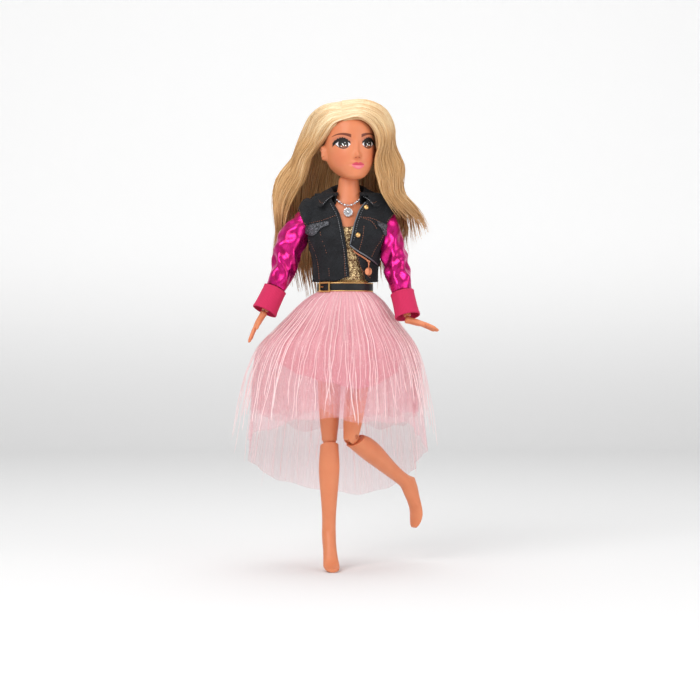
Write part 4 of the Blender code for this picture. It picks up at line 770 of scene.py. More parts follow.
def row_at(rows: Sequence[tuple[float, ...]], position: float) -> list[float]:
    """Reads a table at any position, along a smooth curve through its rows.

    Args:
        rows: Rows that start with their position.
        position: Where to read.

    Returns:
        The row's other values.
    """
    last = len(rows) - 1
    position = min(max(position, rows[0][0]), rows[last][0])
    start = max(i for i in range(last) if rows[i][0] <= position)
    low, high = rows[start], rows[start + 1]
    before, after = rows[max(start - 1, 0)], rows[min(start + 2, last)]
    step = high[0] - low[0]
    along = (position - low[0]) / step
    values = []
    for column in range(1, len(low)):
        entry = (high[column] - before[column]) / (high[0] - before[0]) * step
        leave = (after[column] - low[column]) / (after[0] - low[0]) * step
        rise = high[column] - low[column]
        values.append(low[column] + entry * along + (3 * rise - 2 * entry - leave) * along ** 2
                      + (entry + leave - 2 * rise) * along ** 3)
    return values


def evenly(low: float, high: float, count: int) -> list[float]:
    """Returns count values from low to high."""
    return [low + (high - low) * i / (count - 1) for i in range(count)]


def through(points: Sequence[Vector], share: float) -> Vector:
    """Returns the place at a share of the way along a smooth line through points."""
    rows = [(i / (len(points) - 1), *point) for i, point in enumerate(points)]
    return Vector(row_at(rows, share))


class Workshop:
    """Makes meshes, dresses them and hands them to the frame."""

    def __init__(self, body: str) -> None:
        """Keeps the body that the pieces ride on."""
        self.body = body

    def add(self, name: str, points: Sequence[Vector], faces: Sequence[Sequence[int]],
            material: bpy.types.Material, places: Sequence[tuple[float, float]] | None = None,
            frame: Matrix | None = None, sharp: float = 50.0) -> bpy.types.Object:
        """Makes a mesh from points in millimetres.

        Args:
            name: The piece's name.
            points: Its corners.
            faces: The corners of each face, by number.
            material: Its material.
            places: Where each corner is on the flat cloth, if it has that.
            frame: The piece's own frame, in metres.
            sharp: The angle in degrees above which an edge stays sharp.

        Returns:
            The piece, not riding on anything yet.
        """
        mesh = bpy.data.meshes.new(name)
        mesh.from_pydata([tuple(point * MM) for point in points], [], faces)
        if places:
            layer = mesh.uv_layers.new(name="UVMap")
            for loop in mesh.loops:
                layer.data[loop.index].uv = places[loop.vertex_index]
        mesh.materials.append(material)
        mesh.validate()
        mesh.shade_smooth()
        mesh.set_sharp_from_angle(angle=math.radians(sharp))
        piece = bpy.data.objects.new(name, mesh)
        bpy.context.scene.collection.objects.link(piece)
        if frame:
            piece.matrix_world = frame
        return piece

    def grid(self, name: str, rows: Rows, material: bpy.types.Material, closed: bool = False,
             capped: bool = False, thick: float = 0.0, frame: Matrix | None = None) -> bpy.types.Object:
        """Makes a sheet or a body from rows of points.

        Args:
            name: The piece's name.
            rows: Rows with as many points each.
            material: Its material.
            closed: Whether each row closes on itself.
            capped: Whether the first and last rows are filled.
            thick: How thick the sheet is, grown on both sides.
            frame: The piece's own frame.

        Returns:
            The piece.
        """
        width = len(rows[0])
        points = [point for row in rows for point in row]
        places = self._unrolled(rows)
        faces = []
        for r in range(len(rows) - 1):
            for c in range(width if closed else width - 1):
                d = (c + 1) % width
                faces.append((r * width + c, (r + 1) * width + c, (r + 1) * width + d, r * width + d))
        if capped:
            last = (len(rows) - 1) * width
            faces.append(list(range(width)))
            faces.append([last + c for c in reversed(range(width))])
        piece = self.add(name, points, faces, material, places, frame)
        if thick:
            solid = piece.modifiers.new("Thickness", "SOLIDIFY")
            solid.thickness = thick * MM
            solid.offset = 0.0
            solid.use_even_offset = True
        return piece

    @staticmethod
    def _unrolled(rows: Rows) -> list[tuple[float, float]]:
        """Returns each point's place across and along the flat cloth, in millimetres."""
        middle = rows[len(rows) // 2]
        across = [0.0]
        for first, second in zip(middle, middle[1:]):
            across.append(across[-1] + (second - first).length)
        along = [0.0] * len(middle)
        places = [(a, 0.0) for a in across]
        for upper, lower in zip(rows, rows[1:]):
            along = [a + (q - p).length for a, p, q in zip(along, upper, lower)]
            places += list(zip(across, along))
        return places

    def tubes(self, name: str, lines: Sequence[tuple[Sequence[Vector], Sequence[float]]],
              material: bpy.types.Material, sides: int = 6, flat: float = 1.0,
              frame: Matrix | None = None) -> bpy.types.Object:
        """Makes tapering tubes along lines, as one piece.

        Args:
            name: The piece's name.
            lines: Each tube's points and its radius at each of them.
            material: Its material.
            sides: How many sides a tube has.
            flat: How flat its section is, 1 being round.
            frame: The piece's own frame.

        Returns:
            The piece.
        """
        points, faces, places = [], [], []
        for number, (path, radii) in enumerate(lines):
            across = Vector((0.0, 0.0, 1.0))
            run, shift = 0.0, number * 7.3
            for i, (point, radius) in enumerate(zip(path, radii)):
                way = (path[min(i + 1, len(path) - 1)] - path[max(i - 1, 0)]).normalized()
                across = across - way * across.dot(way)
                if across.length < 1e-6:
                    across = way.orthogonal()
                across.normalize()
                other = way.cross(across)
                run += (point - path[i - 1]).length if i else 0.0
                base = len(points)
                for s in range(sides):
                    angle = math.tau * s / sides
                    spoke = across * math.cos(angle) * flat + other * math.sin(angle)
                    points.append(point + spoke * radius)
                    places.append((shift + s * 0.9, run))
                if i:
                    for s in range(sides):
                        t = (s + 1) % sides
                        faces.append((base - sides + s, base - sides + t, base + t, base + s))
            start = len(points) - sides * len(path)
            faces.append([start + s for s in reversed(range(sides))])
            faces.append([len(points) - sides + s for s in range(sides)])
        return self.add(name, points, faces, material, places, frame, 60.0)

    def keep(self, piece: bpy.types.Object, replaces: Sequence[str] = (),
             body: str = "") -> bpy.types.Object:
        """Lets a piece ride on its body and stand for the nodes that it replaces."""
        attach(piece, body or self.body)
        if replaces:
            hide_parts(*replaces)
        LOG.info("%s: %d faces", piece.name, len(piece.data.polygons))
        return piece

    @staticmethod
    def parted(piece: bpy.types.Object, height: float) -> bpy.types.Object:
        """Leaves a piece what is above a height, and returns the rest as a piece of its own."""
        lower = piece.copy()
        lower.data = piece.data.copy()
        lower.name = piece.name + "_tips"
        bpy.context.scene.collection.objects.link(lower)
        for part, upper in ((piece, True), (lower, False)):
            shape = bmesh.new()
            shape.from_mesh(part.data)
            gone = [f for f in shape.faces if (f.calc_center_median().z > height * MM) is not upper]
            bmesh.ops.delete(shape, geom=gone, context="FACES")
            shape.to_mesh(part.data)
            shape.free()
        return lower

    @staticmethod
    def settle(piece: bpy.types.Object) -> bpy.types.Object:
        """Turns a piece's modifiers into its mesh."""
        bpy.context.view_layer.update()
        graph = bpy.context.evaluated_depsgraph_get()
        mesh = bpy.data.meshes.new_from_object(piece.evaluated_get(graph), depsgraph=graph)
        piece.modifiers.clear()
        old, piece.data = piece.data, mesh
        bpy.data.meshes.remove(old)
        return piece

    def carve(self, piece: bpy.types.Object, cutters: Sequence[bpy.types.Object]) -> bpy.types.Object:
        """Cuts a piece with others, and turns the cuts into its mesh."""
        for cutter in cutters:
            cut = piece.modifiers.new("Cut", "BOOLEAN")
            cut.operation = "DIFFERENCE"
            cut.solver = "EXACT"
            cut.object = cutter
        return self.settle(piece)


@dataclass(frozen=True)
class Skeleton:
    """The rest frames of the doll's head and limbs."""

    neck: Vector = Vector((2.3, 1.0, 70.0))
    shoulder_span: float = 46.5
    shoulder_x: float = 1.25
    shoulder_y: float = 0.8
    shoulder_z: float = 46.0
    upper_arm: float = 35.8
    forearm: float = 34.5

    @staticmethod
    def _step(parent: Matrix, offset: tuple[float, float, float], turn: tuple[float, float, float]) -> Matrix:
        """Returns a child frame, from its place in millimetres and its turn in degrees."""
        way = Euler([math.radians(angle) for angle in turn]).to_matrix().to_4x4()
        return parent @ Matrix.Translation(Vector(offset) * MM) @ way

    def head(self) -> Matrix:
        """Returns the head's frame, at the middle of the chin."""
        nod = self._step(Matrix.Identity(4), tuple(self.neck), (0, 2, 0))
        return self._step(self._step(nod, (0, 0, 0), (0, 0, 14)), (0.7, -1.0, -2.1), (0, 0, 0))

    def arm(self, side: Side) -> Matrix:
        """Returns an upper arm's frame, at its shoulder."""
        start = (self.shoulder_x + side.value * self.shoulder_span / 2, self.shoulder_y, self.shoulder_z)
        swing, lift = (12, 12) if side is Side.LEFT else (6, 24.3)
        return self._step(self._step(Matrix.Identity(4), start, (-swing, 0, 0)), (0, 0, 0),
                          (0, -side.value * lift, 0))

    def elbow(self, side: Side) -> Matrix:
        """Returns a forearm's frame, at its elbow."""
        return self._step(self.arm(side), (0, 0, -self.upper_arm), (-4 if side is Side.LEFT else -6, 0, 0))

    def hand(self, side: Side) -> Matrix:
        """Returns a hand's frame, at its wrist."""
        bend = 62 if side is Side.LEFT else 6
        return self._step(self.elbow(side), (0, 0, -self.forearm), (0, -side.value * bend, 0))


BONES = Skeleton()


@dataclass(frozen=True)
class Head:
    """The vinyl head with its face and ears, built in its own frame."""

    width: float = 31.0
    depth: float = 36.0
    height: float = 44.1
    sides: int = 136
    rings: int = 96
    crowding: float = 0.32
    tilt: float = -4.0
    shift: tuple = (0.7, 0.0, -1.3)
    rows: tuple = (
        (0.0, 0.08, 0.41, -0.27), (0.03, 0.18, 0.46, -0.1), (0.075, 0.268, 0.48, 0.16),
        (0.14, 0.35, 0.488, 0.33), (0.21, 0.42, 0.482, 0.42), (0.31, 0.468, 0.478, 0.48),
        (0.42, 0.494, 0.476, 0.512), (0.53, 0.5, 0.478, 0.527), (0.64, 0.497, 0.478, 0.527),
        (0.75, 0.478, 0.46, 0.505), (0.86, 0.42, 0.395, 0.45), (0.94, 0.315, 0.285, 0.36),
        (0.985, 0.17, 0.155, 0.21), (1.0, 0.05, 0.05, 0.08),
    )
    relief: tuple = (
        (0.0, 14.6, 1.75, 1.9, 2.8), (0.0, 19.5, 1.25, 4.4, 1.15), (1.65, 13.6, 0.95, 0.95, 0.85),
        (0.0, 12.3, 0.7, 1.3, -0.25), (0.0, 10.3, 3.3, 0.95, 0.95), (0.0, 7.9, 2.9, 1.05, 1.15),
        (0.0, 9.15, 3.8, 0.3, -0.6), (4.2, 9.2, 0.8, 0.8, -0.3), (0.0, 5.6, 2.6, 0.9, -0.35),
        (0.0, 2.4, 3.2, 2.2, 0.75), (7.6, 22.6, 4.2, 3.3, -1.15), (7.6, 22.2, 3.0, 2.3, 0.45),
        (7.2, 28.4, 4.6, 1.6, 0.22), (9.2, 14.0, 4.2, 4.6, 0.45),
    )

    def _bump(self, x: float, z: float) -> float:
        """Returns how far the face stands out at a place."""
        total = 0.0
        for aside, up, reach, rise, out in self.relief:
            for middle in {aside, -aside}:
                total += out * math.exp(-((x - middle) / reach) ** 2 - ((z - up) / rise) ** 2)
        return total

    @staticmethod
    def _ear(y: float, z: float) -> float:
        """Returns how far an ear stands out at a place on the side of the head."""
        u, v = (y - 2.2 - 0.12 * (z - 18)) / 3.2, (z - 17.8) / 5.0
        away = math.hypot(u, v)
        rim = math.exp(-((away - 0.72) / 0.26) ** 2)
        bowl = math.exp(-((u + 0.1) / 0.36) ** 2 - ((v - 0.1) / 0.5) ** 2)
        lobe = math.exp(-((u + 0.1) / 0.4) ** 2 - ((v + 0.82) / 0.3) ** 2)
        return 2.9 * rim * (1.0 if u > -0.75 else 0.6) + 0.7 * lobe - 0.6 * bowl

    def ring(self, z: float, swell: float = 0.0) -> list[Vector]:
        """Returns one level ring of the head, grown by a swell."""
        wide, front, back = row_at(self.rows, z / self.height)
        half, middle = wide * self.width + swell, (back - front) / 2 * self.depth
        deep = (back + front) / 2 * self.depth + swell
        points = []
        for i in range(self.sides):
            turn = math.tau * i / self.sides
            angle = turn - self.crowding * math.sin(turn)
            across = math.copysign(abs(math.sin(angle)) ** 0.92, math.sin(angle))
            ahead = math.copysign(abs(math.cos(angle)) ** 0.92, math.cos(angle))
            x, y = half * across, middle - deep * ahead
            if ahead > 0:
                y -= self._bump(x, z) * smooth_step(ahead * 3)
            x += math.copysign(self._ear(y, z), across) * smooth_step((abs(x) - half * 0.8) / (half * 0.15))
            points.append(Vector((x, y, z)))
        return points

    def build(self) -> bpy.types.Object:
        """Makes the head."""
        levels = [self.height * (1 - math.cos(math.pi * (0.06 + 0.94 * s))) / 2
                  for s in evenly(0, 1, self.rings)]
        levels = [0.35 * a + 0.65 * b for a, b in zip(levels, evenly(0.0, self.height, self.rings))]
        shop = Workshop("head")
        seat = Matrix.Translation(Vector(self.shift) * MM) @ Matrix.Rotation(math.radians(self.tilt), 4, "Y")
        piece = shop.grid("head", [self.ring(z) for z in levels], PaintedFace(SKIN).make(), True, True,
                          frame=BONES.head() @ seat)
        return shop.keep(piece, ["head_shell"])


@dataclass(frozen=True)
class Neck:
    """The smooth neck that rises from the collar to the jaw."""

    middle: tuple = (2.3, 1.0)
    profile: tuple = ((52.4, 11.2, 7.8), (53.6, 10.4, 7.5), (55.0, 9.4, 7.2), (57.4, 8.2, 6.9),
                      (60.5, 7.2, 6.6), (63.9, 6.6, 6.3), (67.6, 6.2, 6.1), (68.9, 5.4, 5.4),
                      (69.3, 4.6, 4.6))

    def build(self) -> None:
        """Makes the neck."""
        shop = Workshop("torso")
        rows = []
        for z in evenly(69.3, 52.4, 40):
            wide, deep = row_at(self.profile, z)
            rows.append([Vector((self.middle[0] + wide * math.sin(math.tau * i / 56),
                                 self.middle[1] - deep * math.cos(math.tau * i / 56), z)) for i in range(56)])
        shop.keep(shop.grid("neck", rows, look(SKIN), True, True), ["neck_post"])


@dataclass(frozen=True)
class Hairdo:
    """Long side-parted hair: two combed sheets over the head, and the locks that fall from them.

    The lines run from the parting to the tips, at rest, in the frame of the whole doll.
    Below the height part, the locks' tips are split off as pieces of their own;
    the heights of hold and lie are not used.
    """

    strands: int = 190
    fine: int = 110
    part: float = 47.0
    hold: tuple = (90.0, 50.0)
    lie: tuple = (44.0, 14.0)
    axis: tuple = (2.3, 1.0)
    left: tuple = (
        ((-1.8, -16, 102.6), (8, -18.3, 105), (15.6, -17.3, 102), (20.2, -14.5, 96), (21.4, -12.5, 88),
         (20.8, -11, 79), (19.6, -10.5, 70), (21.5, -11.5, 61), (28, -12, 52), (36, -9, 40)),
        ((-1.9, -13, 109.5), (10, -15.5, 111), (21, -13.5, 106.5), (27, -9.5, 98), (27.8, -7, 88.5),
         (28, -6, 78.5), (29.5, -6, 68), (33, -6, 58), (42, -5, 47), (50, -3, 35)),
        ((-1.9, -6, 115.3), (12, -8, 116.2), (24.5, -5.5, 110.6), (30.3, -2, 100), (30.4, 0, 90),
         (33.5, 0, 80), (36.3, 0.5, 69), (37.3, 1, 59.5), (45, 1.5, 47), (52.5, 1.5, 33)),
        ((-1.8, 4, 116.8), (13, 4, 116), (25, 5, 108.5), (29.5, 8, 97), (31, 9.5, 86), (34, 11, 75),
         (36, 12.5, 63), (37, 13, 51), (41, 13, 38), (44, 13, 24)),
        ((-1.6, 12, 115.5), (12, 15, 112), (21.5, 18, 103), (25.5, 20, 92), (27.5, 21.5, 80), (29, 22.5, 67),
         (29.5, 23, 53), (30, 22.5, 38), (30, 22, 22), (29, 22, 8)),
        ((-0.8, 19, 110), (7, 22.5, 105), (12.5, 25, 96), (15, 26.5, 86), (15.5, 27, 74), (15.5, 27, 60),
         (15, 26, 45), (15, 25.5, 28), (14, 25, 10), (13, 24.5, -6)),
        ((-1, 22, 104), (-2, 25, 99), (-3, 26.5, 91), (-4, 27.5, 82), (-4.5, 28, 70), (-5, 28, 56),
         (-5.5, 27.5, 40), (-6, 27, 24), (-6, 26.5, 8), (-6, 26, -9)),
    )
    right: tuple = (
        ((-1.8, -15.8, 102.6), (-7.8, -15, 100.5), (-11.8, -12, 95.8), (-15, -7, 91.5), (-18.5, -0.5, 87.5),
         (-21.5, 4.5, 80), (-27, 7, 70), (-33.5, 8.5, 58), (-37, 9.5, 43), (-39, 11, 27)),
        ((-1.9, -13, 109.3), (-10, -13.5, 108.5), (-17.2, -10.5, 103.5), (-21.3, -5.5, 96), (-25, -0.5, 88.5),
         (-30.5, 3, 80), (-36.5, 5, 70), (-41, 7, 57), (-43, 9.5, 41), (-44.5, 12, 24)),
        ((-1.9, -5, 115), (-12, -6, 113.2), (-20.5, -3, 107.3), (-24.8, 0, 99.5), (-28.5, 2.5, 90.5),
         (-35, 4.5, 80.5), (-41, 6, 70), (-43.5, 8, 57), (-44.5, 10.5, 40), (-46, 13, 20)),
        ((-1.8, 4, 116.3), (-12, 4.5, 114), (-21, 6.5, 107), (-26, 8.5, 98), (-30, 10.5, 87.5),
         (-35.5, 12, 76), (-39.5, 13.5, 62), (-41, 14.5, 47), (-41.5, 15.5, 28), (-40.5, 16, 8)),
        ((-1.6, 12, 115), (-10, 15, 111.5), (-18.5, 18.5, 103), (-23, 21, 92), (-26, 23, 80), (-28.5, 24, 66),
         (-30, 24, 51), (-30.5, 23.5, 35), (-30, 23, 16), (-29, 22.5, -4)),
        ((-0.8, 19, 110), (-6, 22.5, 105), (-10.5, 25, 96), (-13, 26.5, 86), (-15.5, 27.5, 73),
         (-17.5, 27.5, 59), (-18.5, 27, 43), (-19, 26, 26), (-19, 25.5, 8), (-18.5, 25, -10)),
        ((2, 22, 104), (3, 25, 99), (4, 26.5, 91), (4, 27.5, 81), (4, 28, 69), (3.5, 28, 55), (3, 27.5, 39),
         (2.5, 27, 22), (2, 26.5, 4), (1, 26, -12)),
    )

    def surface(self, lines: tuple, columns: int, count: int) -> list[list[Vector]]:
        """Returns the hair's surface as columns of points from the parting to the tips."""
        full = [[Vector(p) + Vector((0, self._fullness(*p), 0)) for p in line] for line in lines]
        smooth = [[through(line, t) for t in evenly(0, 1, count)] for line in full]
        return [[through([line[i] for line in smooth], u) for i in range(count)]
                for u in evenly(0, 1, columns)]

    @staticmethod
    def _fullness(_: float, y: float, z: float) -> float:
        """Returns how far the hair stands further out at the back of the neck."""
        lower = 0.25 + 0.75 * smooth_step((z + 2) / 36)
        return 4.0 * smooth_step((y - 16) / 9) * smooth_step((96 - z) / 18) * lower

    @staticmethod
    def _wave(point: Vector, along: float, phase: float, size: float) -> Vector:
        """Moves a point of a lock by the loose wave below the ears."""
        swing = smooth_step((along - 0.3) / 0.3) * size
        turn = along * 19 + phase
        return point + Vector((math.sin(turn), 0.6 * math.cos(turn * 0.9),
                               0.3 * math.sin(turn * 1.3))) * swing

    def _lock(self, columns: list[list[Vector]], rng: random.Random, across: float, inset: float,
              radius: float, length: float, size: float) -> tuple[list[Vector], list[float]]:
        """Makes one lock.

        Args:
            columns: The hair's surface.
            rng: The source of its irregularity.
            across: Where it lies across the surface.
            inset: How far it lies under the surface.
            radius: Its radius where it is fullest.
            length: The share of the way to the tips that it reaches.
            size: How far it waves.

        Returns:
            Its points and its radius at each.
        """
        place = across * (len(columns) - 1)
        low = min(int(place), len(columns) - 2)
        first, second, blend = columns[low], columns[low + 1], place - low
        phase, drift = rng.uniform(0, 0.9) + across * 9, rng.uniform(-0.8, 0.8)
        path, radii = [], []
        last = len(first) - 1
        for i in range(len(first)):
            along = i / last
            spot = min(along * length, 0.9999) * last
            base = int(spot)
            a = first[base].lerp(first[base + 1], spot - base)
            b = second[base].lerp(second[base + 1], spot - base)
            point = a.lerp(b, blend)
            inward = (self._middle(point) - point).normalized()
            point = point + inward * inset * smooth_step(along * 4)
            point = point + Vector((drift, drift * 0.5, 0)) * smooth_step((along - 0.3) * 1.4)
            path.append(self._wave(point, along * length, phase, size))
            radii.append(radius * (0.6 + 0.4 * smooth_step(along * 6))
                         * (1 - 0.85 * smooth_step((along - 0.78) / 0.22)))
        return path, radii

    def _falling(self, columns: list[list[Vector]], rng: random.Random, count: int,
                 inset: tuple[float, float], radius: tuple[float, float], size: float,
                 start: float = 0.0) -> list[tuple[list[Vector], list[float]]]:
        """Makes a layer of locks side by side over the surface, from a share across it."""
        lines = []
        for i in range(count):
            across = start + (1 - start) * (i + rng.uniform(0.2, 0.8)) / count
            lines.append(self._lock(columns, rng, across, rng.uniform(*inset), rng.uniform(*radius),
                                    rng.uniform(0.86, 1.0), size))
        return lines

    def build(self) -> None:
        """Makes the sheets, the locks and the loose fibres."""
        shop = Workshop("head")
        rng = random.Random(11)
        nodes = {Side.LEFT: ["hair_lock_left", "hair_crown"], Side.RIGHT: ["hair_lock_right", "hair_back"]}
        for side, lines in ((Side.LEFT, self.left), (Side.RIGHT, self.right)):
            columns = self.surface(lines, 30, 26)
            inner = self._inward(columns, 3.0)
            under = [[through(column, t * (0.48 + 0.26 * smooth_step(c / 10)))
                      for c, column in enumerate(inner)] for t in evenly(0, 1, 20)]
            piece = shop.settle(shop.grid(f"hair_under_{side.word}", under, look(UNDER_HAIR), thick=1.0))
            self._root(piece, nodes[side])
            locks = self._falling(columns, rng, self.strands, (0.3, 1.6), (0.6, 1.05), 1.3)
            locks += self._falling(columns, rng, self.strands // 2, (-0.4, 0.3), (0.4, 0.7), 1.6)
            locks += self._falling(columns, rng, self.strands // 3, (4.2, 5.4), (0.6, 1.0), 0.9, 0.42)
            self._hang(shop, shop.tubes(f"hair_locks_{side.word}", locks, look(HAIR), 7, 0.75))
            loose = self._falling(columns, rng, self.fine, (-1.1, -0.4), (0.12, 0.2), 1.7)
            self._hang(shop, shop.tubes(f"hair_fibres_{side.word}", loose, look(HAIR), 4))

    def _root(self, piece: bpy.types.Object, replaces: Sequence[str] = ()) -> None:
        """Bakes a hair piece's place into its mesh and hides the nodes that it replaces."""
        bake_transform(piece)
        if replaces:
            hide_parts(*replaces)
        LOG.info("%s: %d faces", piece.name, len(piece.data.polygons))

    def _hang(self, shop: Workshop, piece: bpy.types.Object) -> None:
        """Splits the locks at the height part and bakes both halves in place."""
        tips = shop.parted(piece, self.part)
        self._root(piece)
        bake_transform(tips)
        LOG.info("%s: %d faces", tips.name, len(tips.data.polygons))

    @staticmethod
    def _middle(point: Vector) -> Vector:
        """Returns the place that the hair closes round at a height, further back below the ears."""
        return Vector((1.5, 2.0 + 12.0 * smooth_step((96 - point.z) / 16), min(point.z, 88.0)))

    def _inward(self, rows: list[list[Vector]], inset: float) -> list[list[Vector]]:
        """Returns the surface moved in towards the head."""
        return [[point + (self._middle(point) - point).normalized() * inset
                 * smooth_step((abs(point.x) + 4) / 10) for point in row] for row in rows]


@dataclass(frozen=True)
class Trunk:
    """The trunk's outline, which the clothes follow."""

    rows: tuple = (
        (-14.0, 0.0, 15.8, 10.3, 11.8), (-6.0, 0.0, 13.2, 9.3, 9.3), (0.0, 0.0, 12.4, 9.0, 8.6),
        (8.0, 0.19, 12.6, 9.3, 8.8), (18.0, 0.5, 14.6, 10.6, 9.6), (26.0, 0.75, 16.6, 13.2, 10.4),
        (31.0, 0.94, 17.4, 14.5, 10.8), (36.0, 1.06, 17.8, 13.4, 10.9), (42.0, 1.19, 18.0, 10.6, 10.3),
        (47.0, 1.31, 17.2, 8.6, 9.2), (50.5, 1.63, 14.2, 7.4, 8.2), (53.0, 2.0, 9.8, 6.6, 7.4),
        (54.5, 2.25, 7.2, 6.2, 6.8), (58.0, 2.3, 5.9, 5.4, 6.0),
    )

    def at(self, z: float) -> list[float]:
        """Returns the middle, half width, front and back at a height."""
        return row_at(self.rows, z)

    def chest(self, x: float, z: float) -> float:
        """Returns how far forward the chest is at a place."""
        middle, wide, front, _ = self.at(z)
        return -front * math.sqrt(max(1 - ((x - middle) / wide) ** 2, 0.0))


TRUNK = Trunk()


@dataclass(frozen=True)
class GlitterTop:
    """The strapless glitter top with its gathered gold hem."""

    upper: float = 38.5
    lower: float = 3.4

    def build(self) -> None:
        """Makes the top and its frill."""
        shop = Workshop("torso")
        rows = []
        for z in evenly(self.upper, self.lower, 34):
            middle, wide, front, back = TRUNK.at(z)
            row = []
            for i in range(72):
                angle = math.tau * i / 72
                fold = 0.16 * math.sin(angle * 17 + z * 0.35) * smooth_step((30 - z) / 20)
                ease = 0.75 + fold
                depth = (front if math.cos(angle) > 0 else back) + ease
                cleft = 1.6 * math.exp(-((math.sin(angle)) / 0.28) ** 2)
                dip = cleft * smooth_step((z - 32) / 6) * (math.cos(angle) > 0)
                row.append(Vector((middle + (wide + ease) * math.sin(angle), -depth * math.cos(angle),
                                   z - dip)))
            rows.append(row)
        shop.keep(shop.grid("glitter_bodice", rows, look(GLITTER), True, thick=0.35), ["glitter_top"])
        frills = []
        for level, grow in ((3.9, 0.0), (3.3, 0.35)):
            path = []
            middle, wide, front, back = TRUNK.at(4.0)
            for i in range(145):
                angle = math.tau * i / 144
                wave = 0.35 * math.sin(angle * 31 + grow * 9)
                depth = (front if math.cos(angle) > 0 else back) + 1.5 + grow
                path.append(Vector((middle + (wide + 1.5 + grow) * math.sin(angle),
                                    -depth * math.cos(angle) + wave * 0.4, level + wave)))
            frills.append((path, [0.34] * len(path)))
        shop.keep(shop.tubes("bodice_frill", frills, look(FRILL), 6))


